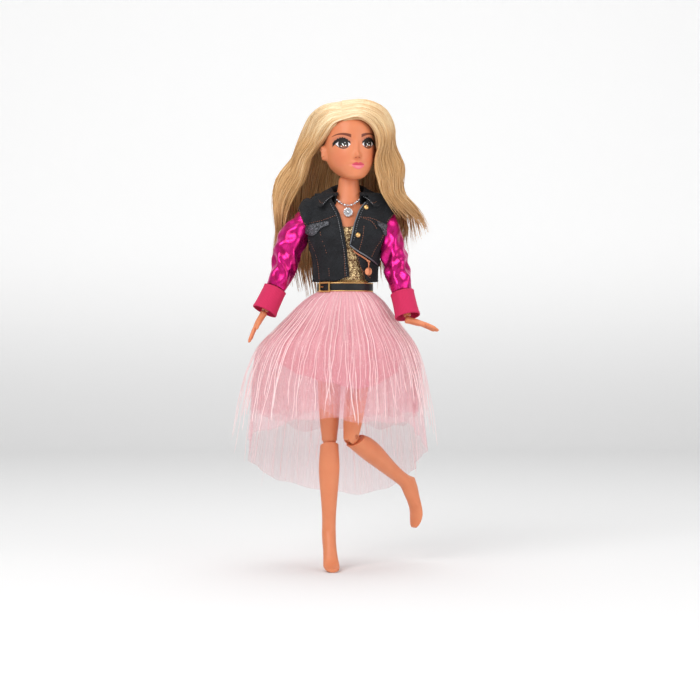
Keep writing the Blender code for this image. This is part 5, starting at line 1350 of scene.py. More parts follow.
@dataclass(frozen=True)
class Jacket:
    """The cropped denim jacket with its panels, collar, flaps, seams and zip."""

    half_width: float = 26.5
    ease: float = 2.55
    hem: float = 3.6
    neck: float = 55.5
    thick: float = 0.7
    widths: tuple = ((0.0, 0.76), (0.2, 0.77), (0.36, 0.84), (0.5, 0.97), (0.66, 1.0), (0.82, 0.98),
                     (0.93, 0.96), (1.0, 0.9), (1.05, 0.74), (1.08, 0.5))
    top: float = 1.05
    wraps: float = 0.965
    seam: float = 0.42
    right_edge: tuple = ((0.0, 0.13), (0.2, 0.07), (0.35, 0.02), (0.5, -0.04), (0.7, -0.12), (0.85, -0.23),
                         (1.0, -0.46))
    left_edge: tuple = ((0.42, 0.08), (0.55, 0.115), (0.68, 0.16), (0.8, 0.235), (0.9, 0.32), (1.0, 0.5))
    left_foot: tuple = ((0.05, 0.43), (0.3, 0.352), (0.5, 0.305), (0.7, 0.255), (1.0, 0.17))
    under_edge: tuple = ((0.0, 0.66), (0.1, 0.56), (0.2, 0.42), (0.3, 0.31), (0.38, 0.26))

    def height(self, share: float) -> float:
        """Returns a height from its share of the jacket."""
        return self.hem + (self.neck - self.hem) * share

    def crease(self, across: float, z: float, behind: bool) -> float:
        """Returns the soft creases of the cloth at a place."""
        drag = 0.35 * math.sin(across * 7 + z * 0.32 + (2.1 if behind else 0.4)) * math.sin(z * 0.21 + 1.2)
        waist = 0.3 * math.sin(across * 15 + 1.3) * smooth_step((18 - z) / 12)
        return drag * 0.6 + waist

    def point(self, across: float, z: float, ease: float = 0.0, behind: bool = False) -> Vector:
        """Returns a point of the jacket.

        Args:
            across: Its share of the half width, to the doll's left.
            z: Its height.
            ease: How far it stands outside the cloth's own layer.
            behind: Whether it is on the back.

        Returns:
            The point.
        """
        share = (z - self.hem) / (self.neck - self.hem)
        middle, _, front, back = TRUNK.at(z)
        grow = ease + self.crease(across, z, behind) * (1 - abs(across) ** 4)
        wide = row_at(self.widths, share)[0] * self.half_width + ease
        depth = (back if behind else front) + self.ease + grow
        bulge = math.sqrt(max(1 - across ** 2, 0.0))
        return Vector((middle + wide * across, depth * bulge * (1 if behind else -1), z))

    def across_evenly(self, start: float, end: float, count: int) -> list[float]:
        """Returns shares across the jacket that lie evenly round its curve."""
        return [math.sin(turn) for turn in evenly(math.asin(start), math.asin(end), count)]

    def patch(self, top: float, bottom: float, start: Callable[[float], float], end: Callable[[float], float],
              ease: float, size: tuple[int, int]) -> list[list[Vector]]:
        """Returns a panel between two edges.

        Args:
            top: The share of the height that it reaches up to.
            bottom: The share that it reaches down to.
            start: Gives the first edge's place across, by height.
            end: Gives the second edge's.
            ease: How far it stands out.
            size: How many rows and columns it has.

        Returns:
            Its rows of points.
        """
        rows = []
        for share in evenly(top, bottom, size[0]):
            turns = self.across_evenly(start(share), end(share), size[1])
            rows.append([self.point(a, self.height(share), ease) for a in turns])
        return rows

    def hem_lift(self, across: float) -> float:
        """Returns how far the hem rises towards the right panel's front edge, as a share of the height."""
        return 0.05 * smooth_step((across + 0.3) / 0.42)

    def armhole(self, side: Side) -> bpy.types.Object:
        """Makes the cutter that clears a sleeve from the jacket."""
        radius = 8.9 if side is Side.LEFT else 9.4
        mesh = bpy.data.meshes.new("armhole")
        shape = bmesh.new()
        bmesh.ops.create_cone(shape, cap_ends=True, segments=40, radius1=radius * MM, radius2=7.0 * MM,
                              depth=36 * MM, matrix=Matrix.Translation((0, 0, -12 * MM)))
        shape.to_mesh(mesh)
        shape.free()
        cutter = bpy.data.objects.new("armhole", mesh)
        bpy.context.scene.collection.objects.link(cutter)
        cutter.matrix_world = BONES.arm(side)
        return cutter

    def left_rows(self, ease: float) -> list[list[Vector]]:
        """Returns the left front panel, cut off along its slanting foot."""
        feet = [row_at(self.left_foot, a)[0] for a in self.across_evenly(0.1, self.wraps, 30)]
        rows = []
        for down in evenly(0, 1, 36):
            row = []
            for number, foot in enumerate(feet):
                share = self.top + (foot - self.top) * down
                start = row_at(self.left_edge, share)[0]
                a = self.across_evenly(start, self.wraps, 30)[number]
                row.append(self.point(a, self.height(share), ease))
            rows.append(row)
        return rows

    def build(self) -> None:
        """Makes every piece of the jacket."""
        shop = Workshop("torso")
        over = 1.3
        edge = math.acos(0.985)
        back = [[self.point(math.cos(a), self.height(share), 0.0, math.sin(a) > 0)
                 for a in evenly(-edge, math.pi + edge, 72)] for share in evenly(self.top, 0, 46)]
        right = self.patch(self.top, 0.0, lambda s: -self.wraps, lambda s: row_at(self.right_edge, s)[0],
                           0.0, (40, 34))
        for row, down in zip(right, evenly(0, 1, 40)):
            for place, across in zip(row, self.across_evenly(-self.wraps, 0.13, 34)):
                place.z += self.hem_lift(across) * (self.neck - self.hem) * down ** 6
        under = self.patch(0.38, 0.0, lambda s: row_at(self.under_edge, s)[0], lambda s: self.wraps, 0.0,
                           (18, 22))
        cloth = [
            (shop.grid("jacket_back_cloth", back, look(DENIM), thick=self.thick), ["jacket_back"]),
            (shop.grid("jacket_right_cloth", right, look(DENIM), thick=self.thick), ["jacket_front_right"]),
            (shop.grid("jacket_left_cloth", self.left_rows(over), look(DENIM), thick=self.thick),
             ["jacket_front_left"]),
            (shop.grid("jacket_underlap_cloth", under, look(DENIM), thick=self.thick), ["jacket_underlap"]),
        ]
        holes = [self.armhole(side) for side in Side]
        for piece, nodes in cloth:
            shop.keep(shop.carve(piece, holes), nodes)
        for hole in holes:
            bpy.data.objects.remove(hole)
        self._yokes(shop, over)
        self._flaps(shop, over)
        self._edges(shop, over)
        self._seams(shop, over)
        self._collar(shop)
        self._zip(shop)
        for side in Side:
            self.shoulder(side)

    def _yokes(self, shop: Workshop, over: float) -> None:
        """Makes the strips that close the shoulders from the front panels to the back."""
        for side in Side:
            ease = over if side is Side.LEFT else 0.0
            rows = []
            for t in evenly(0, 1, 12):
                row = []
                for a in self.across_evenly(0.3, 0.96, 18):
                    across, z = side.value * a, self.height(self.top)
                    front, back = self.point(across, z - 1.2, ease), self.point(across, z - 1.2, 0.0, True)
                    arch = (1 - (2 * t - 1) ** 4) * (1.5 + 0.9 * (1 - a))
                    row.append(front.lerp(back, t) + Vector((0, 0, arch)))
                rows.append(row)
            piece = shop.grid(f"jacket_yoke_{side.word}", rows, look(DENIM), thick=self.thick)
            shop.keep(piece)

    def shoulder(self, side: Side) -> None:
        """Makes the set-in shoulder that turns with the arm over the body's armhole."""
        shop = Workshop(f"upper_arm_{side.word}")
        rows = []
        for k in evenly(0.02, 1, 22):
            row = []
            for i in range(60):
                angle = math.tau * i / 60
                out = side.value * math.sin(angle) * 7.9
                rim = (-8.5 + (1.05 if out > 0 else 0.5) * out) + 0.25 * math.sin(angle * 5 + 1)
                wide = (1 - (1 - k) ** 2.6) ** (1 / 2.3)
                row.append(Vector((7.9 * wide * math.sin(angle), -7.7 * wide * math.cos(angle),
                                   8.6 + (rim - 8.6) * k ** 1.9)))
            rows.append(row)
        word = side.word
        piece = shop.grid(f"jacket_shoulder_{word}", rows, look(DENIM), True, thick=0.6,
                          frame=BONES.arm(side))
        shop.keep(piece)
        seam = [place + Vector((0, 0, 0.6)) + Vector((place.x, place.y, 0)).normalized() * 0.45
                for place in rows[-1]]
        stitches = self._dashes(seam + seam[:1])
        piece = shop.tubes(f"shoulder_stitches_{word}", stitches, look(STITCH), 5, frame=BONES.arm(side))
        shop.keep(piece)

    def _flaps(self, shop: Workshop, over: float) -> None:
        """Makes the two glitter pocket flaps, each with its point."""
        for side, start, end, ease in ((Side.RIGHT, -0.93, -0.4, 0.95), (Side.LEFT, 0.66, 0.93, over + 0.95)):
            rows = []
            for down in evenly(0, 1, 12):
                row = []
                for n, a in enumerate(self.across_evenly(start, end, 26)):
                    u = n / 25 if side is Side.RIGHT else 1 - n / 25
                    top = 0.662 + 0.05 * u
                    low = 0.575 - 0.035 * math.sin(math.pi * min(u / 0.75, 1.0))
                    low += 0.085 * smooth_step((u - 0.4) / 0.6)
                    row.append(self.point(a, self.height(top + (low - top) * down),
                                          ease + 0.12 * math.sin(3 * down)))
                rows.append(row)
            piece = shop.grid(f"pocket_flap_{side.word}_cloth", rows, look(FLAP), thick=0.6)
            shop.keep(piece, [f"pocket_flap_{side.word}"])

    def line(self, route: Sequence[tuple[float, float]], ease: float, count: int) -> list[Vector]:
        """Returns points over the jacket's front, along a smooth route across and up."""
        knots = [Vector((a, share, 0.0)) for a, share in route]
        spots = [through(knots, t) for t in evenly(0, 1, count)]
        return [self.point(spot.x, self.height(spot.y), ease) for spot in spots]

    def _edges(self, shop: Workshop, over: float) -> None:
        """Makes the turned edges of the panels and the grey piping of the overlapping one."""
        right = [(row_at(self.right_edge, s)[0] - 0.012, s) for s in evenly(0.94, 0.06, 9)]
        left = [(row_at(self.left_edge, s)[0] + 0.012, s) for s in evenly(0.94, 0.435, 7)]
        foot = [(a, row_at(self.left_foot, a)[0] + 0.004) for a in (0.09, 0.2, 0.35, 0.5, 0.66, 0.8, 0.9)]
        hems = [([self.point(math.cos(a), self.hem + 0.5, 0.1, math.sin(a) > 0)
                  for a in evenly(-0.1, math.pi + 0.1, 60)], 0.55),
                (self.line([(a, 0.012 + self.hem_lift(a)) for a in (-0.93, -0.6, -0.3, -0.15, 0.0, 0.12)],
                           0.1, 50), 0.55),
                (self.line([(a, 0.012) for a in (0.67, 0.8, 0.93)], 0.1, 20), 0.55),
                (self.line(right, 0.2, 60), 0.55)]
        lines = [(path, [radius] * len(path)) for path, radius in hems]
        shop.keep(shop.tubes("jacket_edges", lines, look(DENIM), 8, 0.9))
        piping = [(self.line(left, over + 0.15, 44), 0.42), (self.line(foot, over + 0.25, 36), 0.5)]
        lines = [(path, [radius] * len(path)) for path, radius in piping]
        shop.keep(shop.tubes("jacket_piping", lines, look(PIPING), 8))

    def _seams(self, shop: Workshop, over: float) -> None:
        """Sews the copper stitches of the seams and the pale ones beside the front edges."""
        plain = (
            ((-0.78, 0.0), (-0.84, 0.25), (-0.9, 0.52)), ((-0.47, 0.0), (-0.53, 0.3), (-0.62, 0.62)),
            ((-0.97, 0.69), (-0.6, 0.72), (-0.22, 0.79)), ((0.0, 0.03), (-0.03, 0.2), (-0.06, 0.4)),
        )
        lifted = (
            ((0.34, 0.37), (0.36, 0.5), (0.38, 0.68)), ((0.7, 0.29), (0.76, 0.42), (0.82, 0.56)),
            ((0.3, 0.76), (0.55, 0.745), (0.86, 0.68)), ((0.36, 0.75), (0.56, 0.7), (0.68, 0.6)),
        )
        pale = (tuple((row_at(self.right_edge, s)[0] - 0.07, s) for s in evenly(0.93, 0.03, 8)),)
        pale_lifted = (tuple((row_at(self.left_edge, s)[0] + 0.075, s) for s in evenly(0.93, 0.45, 7)),)
        stitches = self._stitches(plain, self.seam) + self._stitches(lifted, over + self.seam)
        stitches += self._stitches((((0.44, 0.16), (0.6, 0.09), (0.8, 0.03)),
                                    ((0.3, 0.35), (0.42, 0.2), (0.6, 0.02))), self.seam)
        behind = (
            ((-0.9, 0.72), (0.0, 0.7), (0.9, 0.72)), ((-0.5, 0.02), (-0.52, 0.35), (-0.6, 0.68)),
            ((0.5, 0.02), (0.52, 0.35), (0.6, 0.68)), ((-0.93, 0.05), (0.0, 0.05), (0.93, 0.05)),
        )
        for route in behind:
            stitches += self._dashes([self.point(a, self.height(s), self.seam, True)
                                      for a, s in self._fine(route)])
        shop.keep(shop.tubes("jacket_stitches", stitches, look(STITCH), 5))
        edge = self._stitches(pale, self.seam) + self._stitches(pale_lifted, over + self.seam)
        shop.keep(shop.tubes("jacket_edge_stitches", edge, look(PALE_STITCH), 5))

    @staticmethod
    def _fine(route: Sequence[tuple[float, float]]) -> list[tuple[float, float]]:
        """Returns a route with many points."""
        knots = [Vector((a, s, 0.0)) for a, s in route]
        return [tuple(through(knots, t))[:2] for t in evenly(0, 1, 90)]

    def _stitches(self, routes: Sequence[tuple], ease: float) -> list[tuple[list[Vector], list[float]]]:
        """Returns the stitches of several seams."""
        made = []
        for route in routes:
            made += self._dashes(self.line(route, ease, 90))
        return made

    @staticmethod
    def _dashes(path: Sequence[Vector]) -> list[tuple[list[Vector], list[float]]]:
        """Cuts a path into stitches with a small gap between them."""
        made, run, current = [], 0.0, []
        for first, second in zip(path, path[1:]):
            gap = (second - first).length
            pieces = max(int(gap / 0.24), 1)
            for i in range(pieces):
                point = first.lerp(second, i / pieces)
                if run % 1.45 < 0.98:
                    current.append(point)
                elif len(current) > 2:
                    made.append((current, [0.07, *[0.15] * (len(current) - 2), 0.07]))
                    current = []
                else:
                    current = []
                run += gap / pieces
        return made

    def _collar(self, shop: Workshop) -> None:
        """Makes the folded collar that stands round the neck and opens in front."""
        profile = ((0.0, 53.5, 10.2), (0.3, 60.0, 9.0), (0.45, 64.4, 8.8), (0.53, 65.6, 9.6),
                   (0.62, 64.6, 11.2), (0.8, 62.6, 14.8), (1.0, 59.0, 18.4))
        rows = []
        for t in evenly(0, 1, 24):
            z, out = row_at(profile, t)
            row = []
            for n in range(65):
                angle = math.radians(46) + (math.tau - math.radians(92)) * n / 64
                tip = math.exp(-((abs(n - 32) - 31) / 4.5) ** 2)
                radius = out * (1 + 0.1 * t * tip) + 0.14 * math.sin(angle * 6)
                back = (1 + math.cos(angle)) / 2
                row.append(Vector((1.9 + radius * math.sin(angle) * 1.12,
                                   1.0 - radius * math.cos(angle) * 0.98, z - 7.5 * back - 3.0 * t * tip)))
            rows.append(row)
        shop.keep(shop.grid("jacket_collar_cloth", rows, look(DENIM), thick=self.thick), ["jacket_collar"])
        stitches = self._dashes(self._lifted(rows[-3], rows[-2]))
        shop.keep(shop.tubes("collar_stitches", stitches, look(STITCH), 5))
        rim = [rows[r][0] for r in range(12, 24)] + rows[-1] + [rows[r][-1] for r in reversed(range(12, 24))]
        shop.keep(shop.tubes("collar_edge", [(rim, [0.42] * len(rim))], look(DENIM), 8))
        pale = [point + Vector((0, -0.42, 0.15)) for r in (0, -1) for point in [row[r] for row in rows[13:]]]
        halves = self._dashes(pale[:11]) + self._dashes(pale[11:])
        shop.keep(shop.tubes("collar_edge_stitches", halves, look(PALE_STITCH), 5))

    @staticmethod
    def _lifted(row: Sequence[Vector], below: Sequence[Vector]) -> list[Vector]:
        """Returns a row moved out of the cloth, by the slope towards the row below it."""
        made = []
        for i, point in enumerate(row):
            along = (row[min(i + 1, len(row) - 1)] - row[max(i - 1, 0)]).normalized()
            out = (below[i] - point).cross(along).normalized()
            made.append(point + (out if out.z > 0 else -out) * 0.42)
        return made

    def _zip(self, shop: Workshop) -> None:
        """Makes the zip's tape, its copper teeth and the round puller with its tab."""
        rows = []
        for down in evenly(-0.45, 0.55, 5):
            lift = (1.3 + down) / (self.neck - self.hem)
            route = [(a, row_at(self.left_foot, a)[0] - lift) for a in evenly(0.2, 0.64, 9)]
            rows.append(self.line(route, 0.95, 24))
        shop.keep(shop.grid("zip_tape", rows, look(COPPER), thick=0.3), ["jacket_zip"])
        teeth = []
        middle = rows[2]
        for i in range(len(middle) - 1):
            for half in (0.25, 0.75):
                point = middle[i].lerp(middle[i + 1], half)
                across = (rows[3][i] - rows[1][i]).normalized()
                teeth.append(([point - across * 0.4 + Vector((0, -0.32, 0)), point + Vector((0, -0.42, 0)),
                               point + across * 0.4 + Vector((0, -0.32, 0))], [0.14, 0.17, 0.14]))
        shop.keep(shop.tubes("zip_teeth", teeth, look(COPPER), 6))
        low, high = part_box("zip_puller")
        centre = (low + high) / 2 / MM
        slider = middle[-1] + Vector((0.2, -0.7, -0.4))
        ring = [centre + Vector((2.0 * math.sin(a), -0.55, 2.0 * math.cos(a)))
                for a in evenly(0, math.tau, 33)]
        tab = [slider + Vector((-0.9, 0.3, 0.5)), slider, slider + Vector((0.9, 0.1, -0.5))]
        link = [slider, slider.lerp(centre, 0.3) + Vector((0.2, -0.5, 0)), centre + Vector((0.1, -0.6, 1.6))]
        parts = [(ring, [0.3] * 33), (tab, [0.7, 0.85, 0.7]), (link, [0.32, 0.5, 0.3])]
        shop.keep(shop.tubes("zip_trim", parts, look(COPPER), 8))


@dataclass(frozen=True)
class Sleeve:
    """One foil sleeve from the armhole to the cuff, with the cuff, shaped over the bent elbow."""

    side: Side
    puff: float
    lean: float
    length: float = 51.5
    radius: float = 6.7

    def _place(self, down: float) -> Matrix:
        """Returns the frame round the arm at a distance down it, in millimetres."""
        upper, lower = BONES.arm(self.side), BONES.elbow(self.side)
        share = smooth_step((down - BONES.upper_arm + 4) / 8)
        first = upper @ Matrix.Translation((0, 0, -down * MM))
        second = lower @ Matrix.Translation((0, 0, -(down - BONES.upper_arm) * MM))
        return first.lerp(second, share)

    def _wrinkle(self, angle: float, down: float) -> float:
        """Returns how far the cloth stands out, from its pulled and slack creases."""
        seed = 0.7 if self.side is Side.LEFT else 2.3
        total = 0.0
        for turns, pitch, phase, size in ((1, 0.15, 0.4, 0.6), (2, -0.11, 1.9, 0.62), (3, 0.08, 3.1, 0.5),
                                          (2, 0.26, 0.9, 0.36), (3, -0.3, 4.2, 0.22)):
            wander = 0.9 * math.sin(down * 0.13 + turns + seed)
            wave = math.sin(turns * angle + pitch * down + phase + seed + wander)
            total += size * (1 - 1.7 * abs(wave) ** 1.4)
        bunch = math.exp(-((down - BONES.upper_arm) / 9) ** 2)
        return total * (0.6 + 0.55 * bunch)

    def build(self) -> None:
        """Makes the sleeve, the cuff and its turned edges."""
        word = self.side.word
        shop = Workshop(f"upper_arm_{word}")
        rows = []
        for down in evenly(-0.7, self.length, 96):
            share = down / self.length
            puff = row_at(((0.0, 0.95), (0.15, 1.04), (0.35, 1.0 + self.puff), (0.6, 1.0 + self.puff * 0.8),
                           (0.75, 1.0 + self.puff * 0.35), (0.9, 1.05), (1.0, 0.88)), max(share, 0.0))[0]
            frame = self._place(max(down, 0.0) + 3.0 * max(1 - max(down, 0.0) / 12, 0.0))
            row = []
            for i in range(84):
                angle = math.tau * i / 84
                ends = smooth_step((share + 0.02) * 6) * smooth_step((1.02 - share) * 12)
                radius = self.radius * puff + self._wrinkle(angle, down) * ends
                x, y = radius * math.sin(angle), -radius * math.cos(angle)
                slope = (0.45 if self.side.value * x > 0 else 1.5) * max(1 - max(down, 0.0) / 12, 0.0)
                rise = self.side.value * x * slope - min(down, 0.0)
                sag = self.side.value * self.lean * math.sin(math.pi * min(max(share, 0.0) / 0.8, 1.0))
                row.append(frame @ (Vector((x + sag, y, rise)) * MM) / MM)
            rows.append(row)
        piece = shop.settle(shop.grid(f"sleeve_{word}", rows, look(FOIL), True, thick=0.35))
        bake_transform(piece)
        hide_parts(f"sleeve_upper_{word}", f"sleeve_lower_{word}")
        LOG.info("%s: %d faces", piece.name, len(piece.data.polygons))
        self._cuff(shop, word)

    def _cuff(self, shop: Workshop, word: str) -> None:
        """Makes the knitted cuff with its gathered top and its turned hem."""
        frame = BONES.elbow(self.side)
        rows = []
        for t in evenly(0, 1, 26):
            z = -16.4 - 15.8 * t
            row = []
            for i in range(72):
                angle = math.tau * i / 72
                hem = 0.22 * math.exp(-((t - 0.94) / 0.05) ** 2) + 0.2 * math.exp(-(t / 0.05) ** 2)
                fold = 0.28 * math.sin(angle * 2 + t * 2.2 + 0.6) + 0.1 * math.sin(angle * 9) * (1 - t)
                radius = 7.1 + 0.45 * t + hem + fold
                row.append(Vector((radius * math.sin(angle), -radius * math.cos(angle), z)))
            rows.append(row)
        piece = shop.grid(f"cuff_{word}_knit", rows, look(CUFF), True, thick=0.6, frame=frame)
        shop.keep(piece, [f"cuff_{word}"], f"forearm_{word}")


@dataclass(frozen=True)
class Layer:
    """One layer of the skirt: its drop, its longer back, its flare and its gathers.

    The cut is the flat cloth's width, its longest length and its area, before it is gathered.
    """

    name: str
    drop: float
    train: float
    flare: float
    inset: float
    folds: int
    depth: float
    uneven: float
    phase: float = 0.0
    cut: tuple[float, float, float] = (0.0, 0.0, 0.0)


@dataclass(frozen=True)
class Skirt:
    """The gathered skirt: satin lining, sheer tulle and tinsel that fans out from the waist."""

    waist_width: float = 17.2
    waist_depth: float = 13.2
    top: float = -2.9
    spread: tuple = ((0.0, 0.0), (0.055, 0.19), (0.13, 0.35), (0.205, 0.48), (0.29, 0.64), (0.365, 0.81),
                     (0.44, 0.92), (0.55, 0.98), (1.0, 1.03), (1.65, 1.2))
    lining: Layer = Layer("skirt_lining_satin", 58.5, -10.0, 23.5, 2.2, 8, 1.2, 1.2, 0.0,
                          (236.0, 62.0, 11200.0))
    layers: tuple = (
        (Layer("tulle_short", 74.0, 4.0, 33.0, 1.0, 11, 1.6, 3.2, 1.1, (300.0, 86.0, 24000.0)), 0.34, 0.5),
        (Layer("tulle_middle", 66.0, 22.0, 34.6, 0.4, 13, 1.8, 3.6, 2.2, (330.0, 96.0, 26500.0)), 0.26, 0.35),
        (Layer("tulle_long", 78.5, 52.0, 35.2, 0.0, 9, 2.3, 2.0, 0.0, (355.0, 140.0, 37500.0)), 0.34, 0.4),
    )
    strand_spread: tuple = ((0.0, 0.0), (0.055, 0.17), (0.13, 0.33), (0.205, 0.47), (0.29, 0.64),
                            (0.365, 0.79), (0.44, 0.91), (0.6, 1.06), (0.8, 1.16), (1.0, 1.24),
                            (1.65, 1.45))

    def point(self, angle: float, share: float, layer: Layer, ease: float = 0.0,
              strand: bool = False) -> Vector:
        """Returns a point of a layer.

        Args:
            angle: The turn from the front towards the doll's left.
            share: The share of the way from the waist to the hem.
            layer: The layer.
            ease: How far outside the layer the point is.
            strand: Whether it is on a tinsel strand, which stays straighter than the cloth.

        Returns:
            The point.
        """
        behind = (1 - math.cos(angle)) / 2
        swell = 0.6 * math.sin(angle * 5 + layer.phase)
        ragged = layer.uneven * (swell + 0.4 * math.sin(angle * 13 + 2 * layer.phase))
        length = layer.drop + ragged + layer.train * behind ** 1.5
        if layer is self.lining:
            length -= 12.0 * math.sin(angle - 0.2) ** 2
        drop = length * share
        lean = 1 - 0.16 * math.sin(angle)
        spread = layer.flare * row_at(self.strand_spread if strand else self.spread, drop / 80)[0] * lean
        gather = math.sin(layer.folds * angle + layer.phase) + 0.5 * math.sin(layer.folds * 2.7 * angle + 1.3)
        loose = 0.15 if strand else 0.75
        fold = layer.depth * (share ** 0.8) * gather * loose
        fold += 0.35 * math.sin(46 * angle) * math.exp(-drop / 9)
        depth_share = 0.6 + 0.48 * behind
        width = self.waist_width - layer.inset + spread + fold + ease
        depth = self.waist_depth - layer.inset + spread * depth_share + fold + ease
        return Vector((width * math.sin(angle), -depth * math.cos(angle), self.top - drop))

    def rows(self, layer: Layer, count: int, columns: int) -> list[list[Vector]]:
        """Returns a layer's rows of points, closed round the waist."""
        return [[self.point(math.tau * c / columns, share, layer) for c in range(columns)]
                for share in evenly(0, 1, count)]

    @staticmethod
    def _declare(piece: bpy.types.Object, layer: Layer) -> None:
        """Does nothing with a layer or its flat cut."""

    def build(self) -> None:
        """Makes the lining, the tulle, the tinsel and the gathered heading."""
        shop = Workshop("torso")
        rows = self.rows(self.lining, 30, 180)
        piece = shop.grid(self.lining.name, rows, look(SATIN), True, thick=0.3)
        shop.keep(piece, ["skirt_lining_left", "skirt_lining_right"])
        self._declare(piece, self.lining)
        edge = [p + Vector((0, 0, -0.15)) for p in rows[-1]] + [rows[-1][0]]
        shop.keep(shop.tubes("lining_hem", [(edge, [0.32] * len(edge))], look(SATIN), 6))
        for layer, cover, waist in self.layers:
            rows = self.rows(layer, 36, 216)
            piece = shop.grid(layer.name, rows, look(Net(layer.name.replace("_", " "), cover, waist)), True)
            nodes = ["skirt_tulle_left", "skirt_tulle_right"] if layer is self.layers[-1][0] else []
            shop.keep(piece, nodes)
            self._declare(piece, layer)
        self._tinsel(shop)
        self._gathers(shop)

    def _tinsel(self, shop: Workshop) -> None:
        """Fans the tinsel strands out from the waist, past the hems."""
        rng = random.Random(5)
        front, middle, back = (layer for layer, _, _ in self.layers)
        for layer, count, sizes, reaches in ((front, 34, (0.2, 0.3), (0.84, 1.1)),
                                             (middle, 44, (0.09, 0.16), (0.8, 1.12)),
                                             (back, 64, (0.08, 0.2), (0.72, 1.05))):
            lines = []
            for i in range(count):
                angle = math.tau * (i + rng.uniform(-0.42, 0.42)) / count
                start, reach = rng.uniform(0.0, 0.12), rng.uniform(*reaches)
                bend, phase, size = rng.uniform(-0.1, 0.1), rng.uniform(0, math.tau), rng.uniform(*sizes)
                path = []
                for t in evenly(0, 1, 28):
                    share = start + (reach - start) * t
                    turn = angle + bend * t * t + 0.004 * math.sin(t * 23 + phase)
                    path.append(self.point(turn, share, layer,
                                           0.7 + 0.9 * t + 0.25 * math.sin(t * 11 + phase), True))
                lines.append((path, [size * 0.6] + [size] * 26 + [size * 0.5]))
            piece = shop.tubes(f"tinsel_{layer.name}", lines, look(TINSEL), 5)
            shop.keep(piece)

    def _gathers(self, shop: Workshop) -> None:
        """Makes the gathered heading that meets the waistband."""
        rows = []
        for t in evenly(0, 1, 8):
            row = []
            for i in range(240):
                angle = math.tau * i / 240
                pleat = 0.32 * math.sin(angle * 48) * t
                wide, deep = 16.4 + 1.5 * t + pleat, 12.4 + 1.5 * t + pleat
                row.append(Vector((wide * math.sin(angle), -deep * math.cos(angle), -1.6 - 3.2 * t)))
            rows.append(row)
        shop.keep(shop.grid("skirt_heading", rows, look(SATIN), True, thick=0.3))


@dataclass(frozen=True)
class Belt:
    """The black belt with its gold edges and the prong of its buckle."""

    wide: float = 16.5
    deep: float = 12.5
    high: float = 5.4
    thick: float = 1.0

    def _ring(self, grow: float, z: float, count: int = 96) -> list[Vector]:
        """Returns a ring round the waist."""
        return [Vector(((self.wide + grow) * math.sin(math.tau * i / count),
                        -(self.deep + grow) * math.cos(math.tau * i / count), z)) for i in range(count)]

    def build(self) -> None:
        """Makes the strap, the edges and the prong."""
        shop = Workshop("torso")
        half = self.high / 2
        section = ((0.0, half), (0.75, half), (0.98, half * 0.86), (1.0, half * 0.5), (1.0, -half * 0.5),
                   (0.98, -half * 0.86), (0.75, -half), (0.0, -half), (0.0, half))
        rows = [self._ring(grow * self.thick, z) for grow, z in section]
        shop.keep(shop.grid("belt_strap", rows, look(LEATHER), True), ["belt"])
        edges = []
        for z in (half - 0.25, -half + 0.25):
            ring = self._ring(self.thick - 0.02, z)
            edges.append((ring + ring[:1], [0.3] * (len(ring) + 1)))
        shop.keep(shop.tubes("belt_edges", edges, look(GOLD), 6))
        angles = evenly(-0.98, -0.83, 3)
        prong = [Vector(((self.wide + 1.6) * math.sin(a), -(self.deep + 1.6) * math.cos(a), 0.1))
                 for a in angles]
        shop.keep(shop.tubes("buckle_prong", [(prong, [0.32, 0.34, 0.28])], look(GOLD), 8))


@dataclass(frozen=True)
class Necklace:
    """The necklace of small stones and links over the chest."""

    middle: float = 1.9
    low: float = 50.6
    rise: float = 5.4
    half_width: float = 8.3

    def _spot(self, angle: float) -> Vector:
        """Returns a place on the necklace, by its turn from the front."""
        x = self.middle + self.half_width * math.sin(angle)
        z = self.low + self.rise * math.sin(angle) ** 2
        return Vector((x, min(TRUNK.chest(x, z) - 1.5, -9.1 * math.cos(angle)), z))

    def build(self) -> None:
        """Makes the links, the stones and the pendant's rim."""
        shop = Workshop("torso")
        links, stones = [], []
        angles = evenly(-1.36, 1.36, 19)
        for i, (first, second) in enumerate(zip(angles, angles[1:])):
            a, b = self._spot(first), self._spot(second)
            middle, way = (a + b) / 2, (b - a).normalized()
            up = way.cross(Vector((0, -1, 0))).normalized()
            if i % 2:
                up = way.cross(up)
            loop = [middle + way * math.cos(t) * 0.72 + up * math.sin(t) * 0.5
                    for t in evenly(0, math.tau, 17)]
            links.append((loop, [0.19] * 17))
        for n, angle in enumerate(evenly(-1.25, 1.25, 11)):
            spot = self._spot(angle) + Vector((0, -0.35, 0))
            size = 0.62 if n % 2 else 0.85
            out = Vector((0, -1, 0))
            stones.append(([spot + out * d for d in (-0.3, 0.0, 0.35, 0.6)],
                           [size * 0.5, size, size * 0.8, size * 0.3]))
        shop.keep(shop.tubes("necklace_links", links, look(SILVER), 6), ["necklace"])
        shop.keep(shop.tubes("necklace_stones", stones, look(SILVER), 8))
        low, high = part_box("pendant")
        centre = (low + high) / 2 / MM
        beads = []
        for i in range(14):
            angle = math.tau * i / 14
            spot = centre + Vector((2.35 * math.cos(angle), -0.45, 2.35 * math.sin(angle)))
            beads.append(([spot + Vector((0, d, 0)) for d in (0.3, 0.0, -0.35, -0.5)],
                          [0.36, 0.46, 0.34, 0.1]))
        heart = [centre + Vector((0, d, 0)) for d in (0.2, -0.5, -0.9, -1.1)]
        beads.append((heart, [1.0, 1.0, 0.7, 0.25]))
        shop.keep(shop.tubes("pendant_stones", beads, look(SILVER), 8))


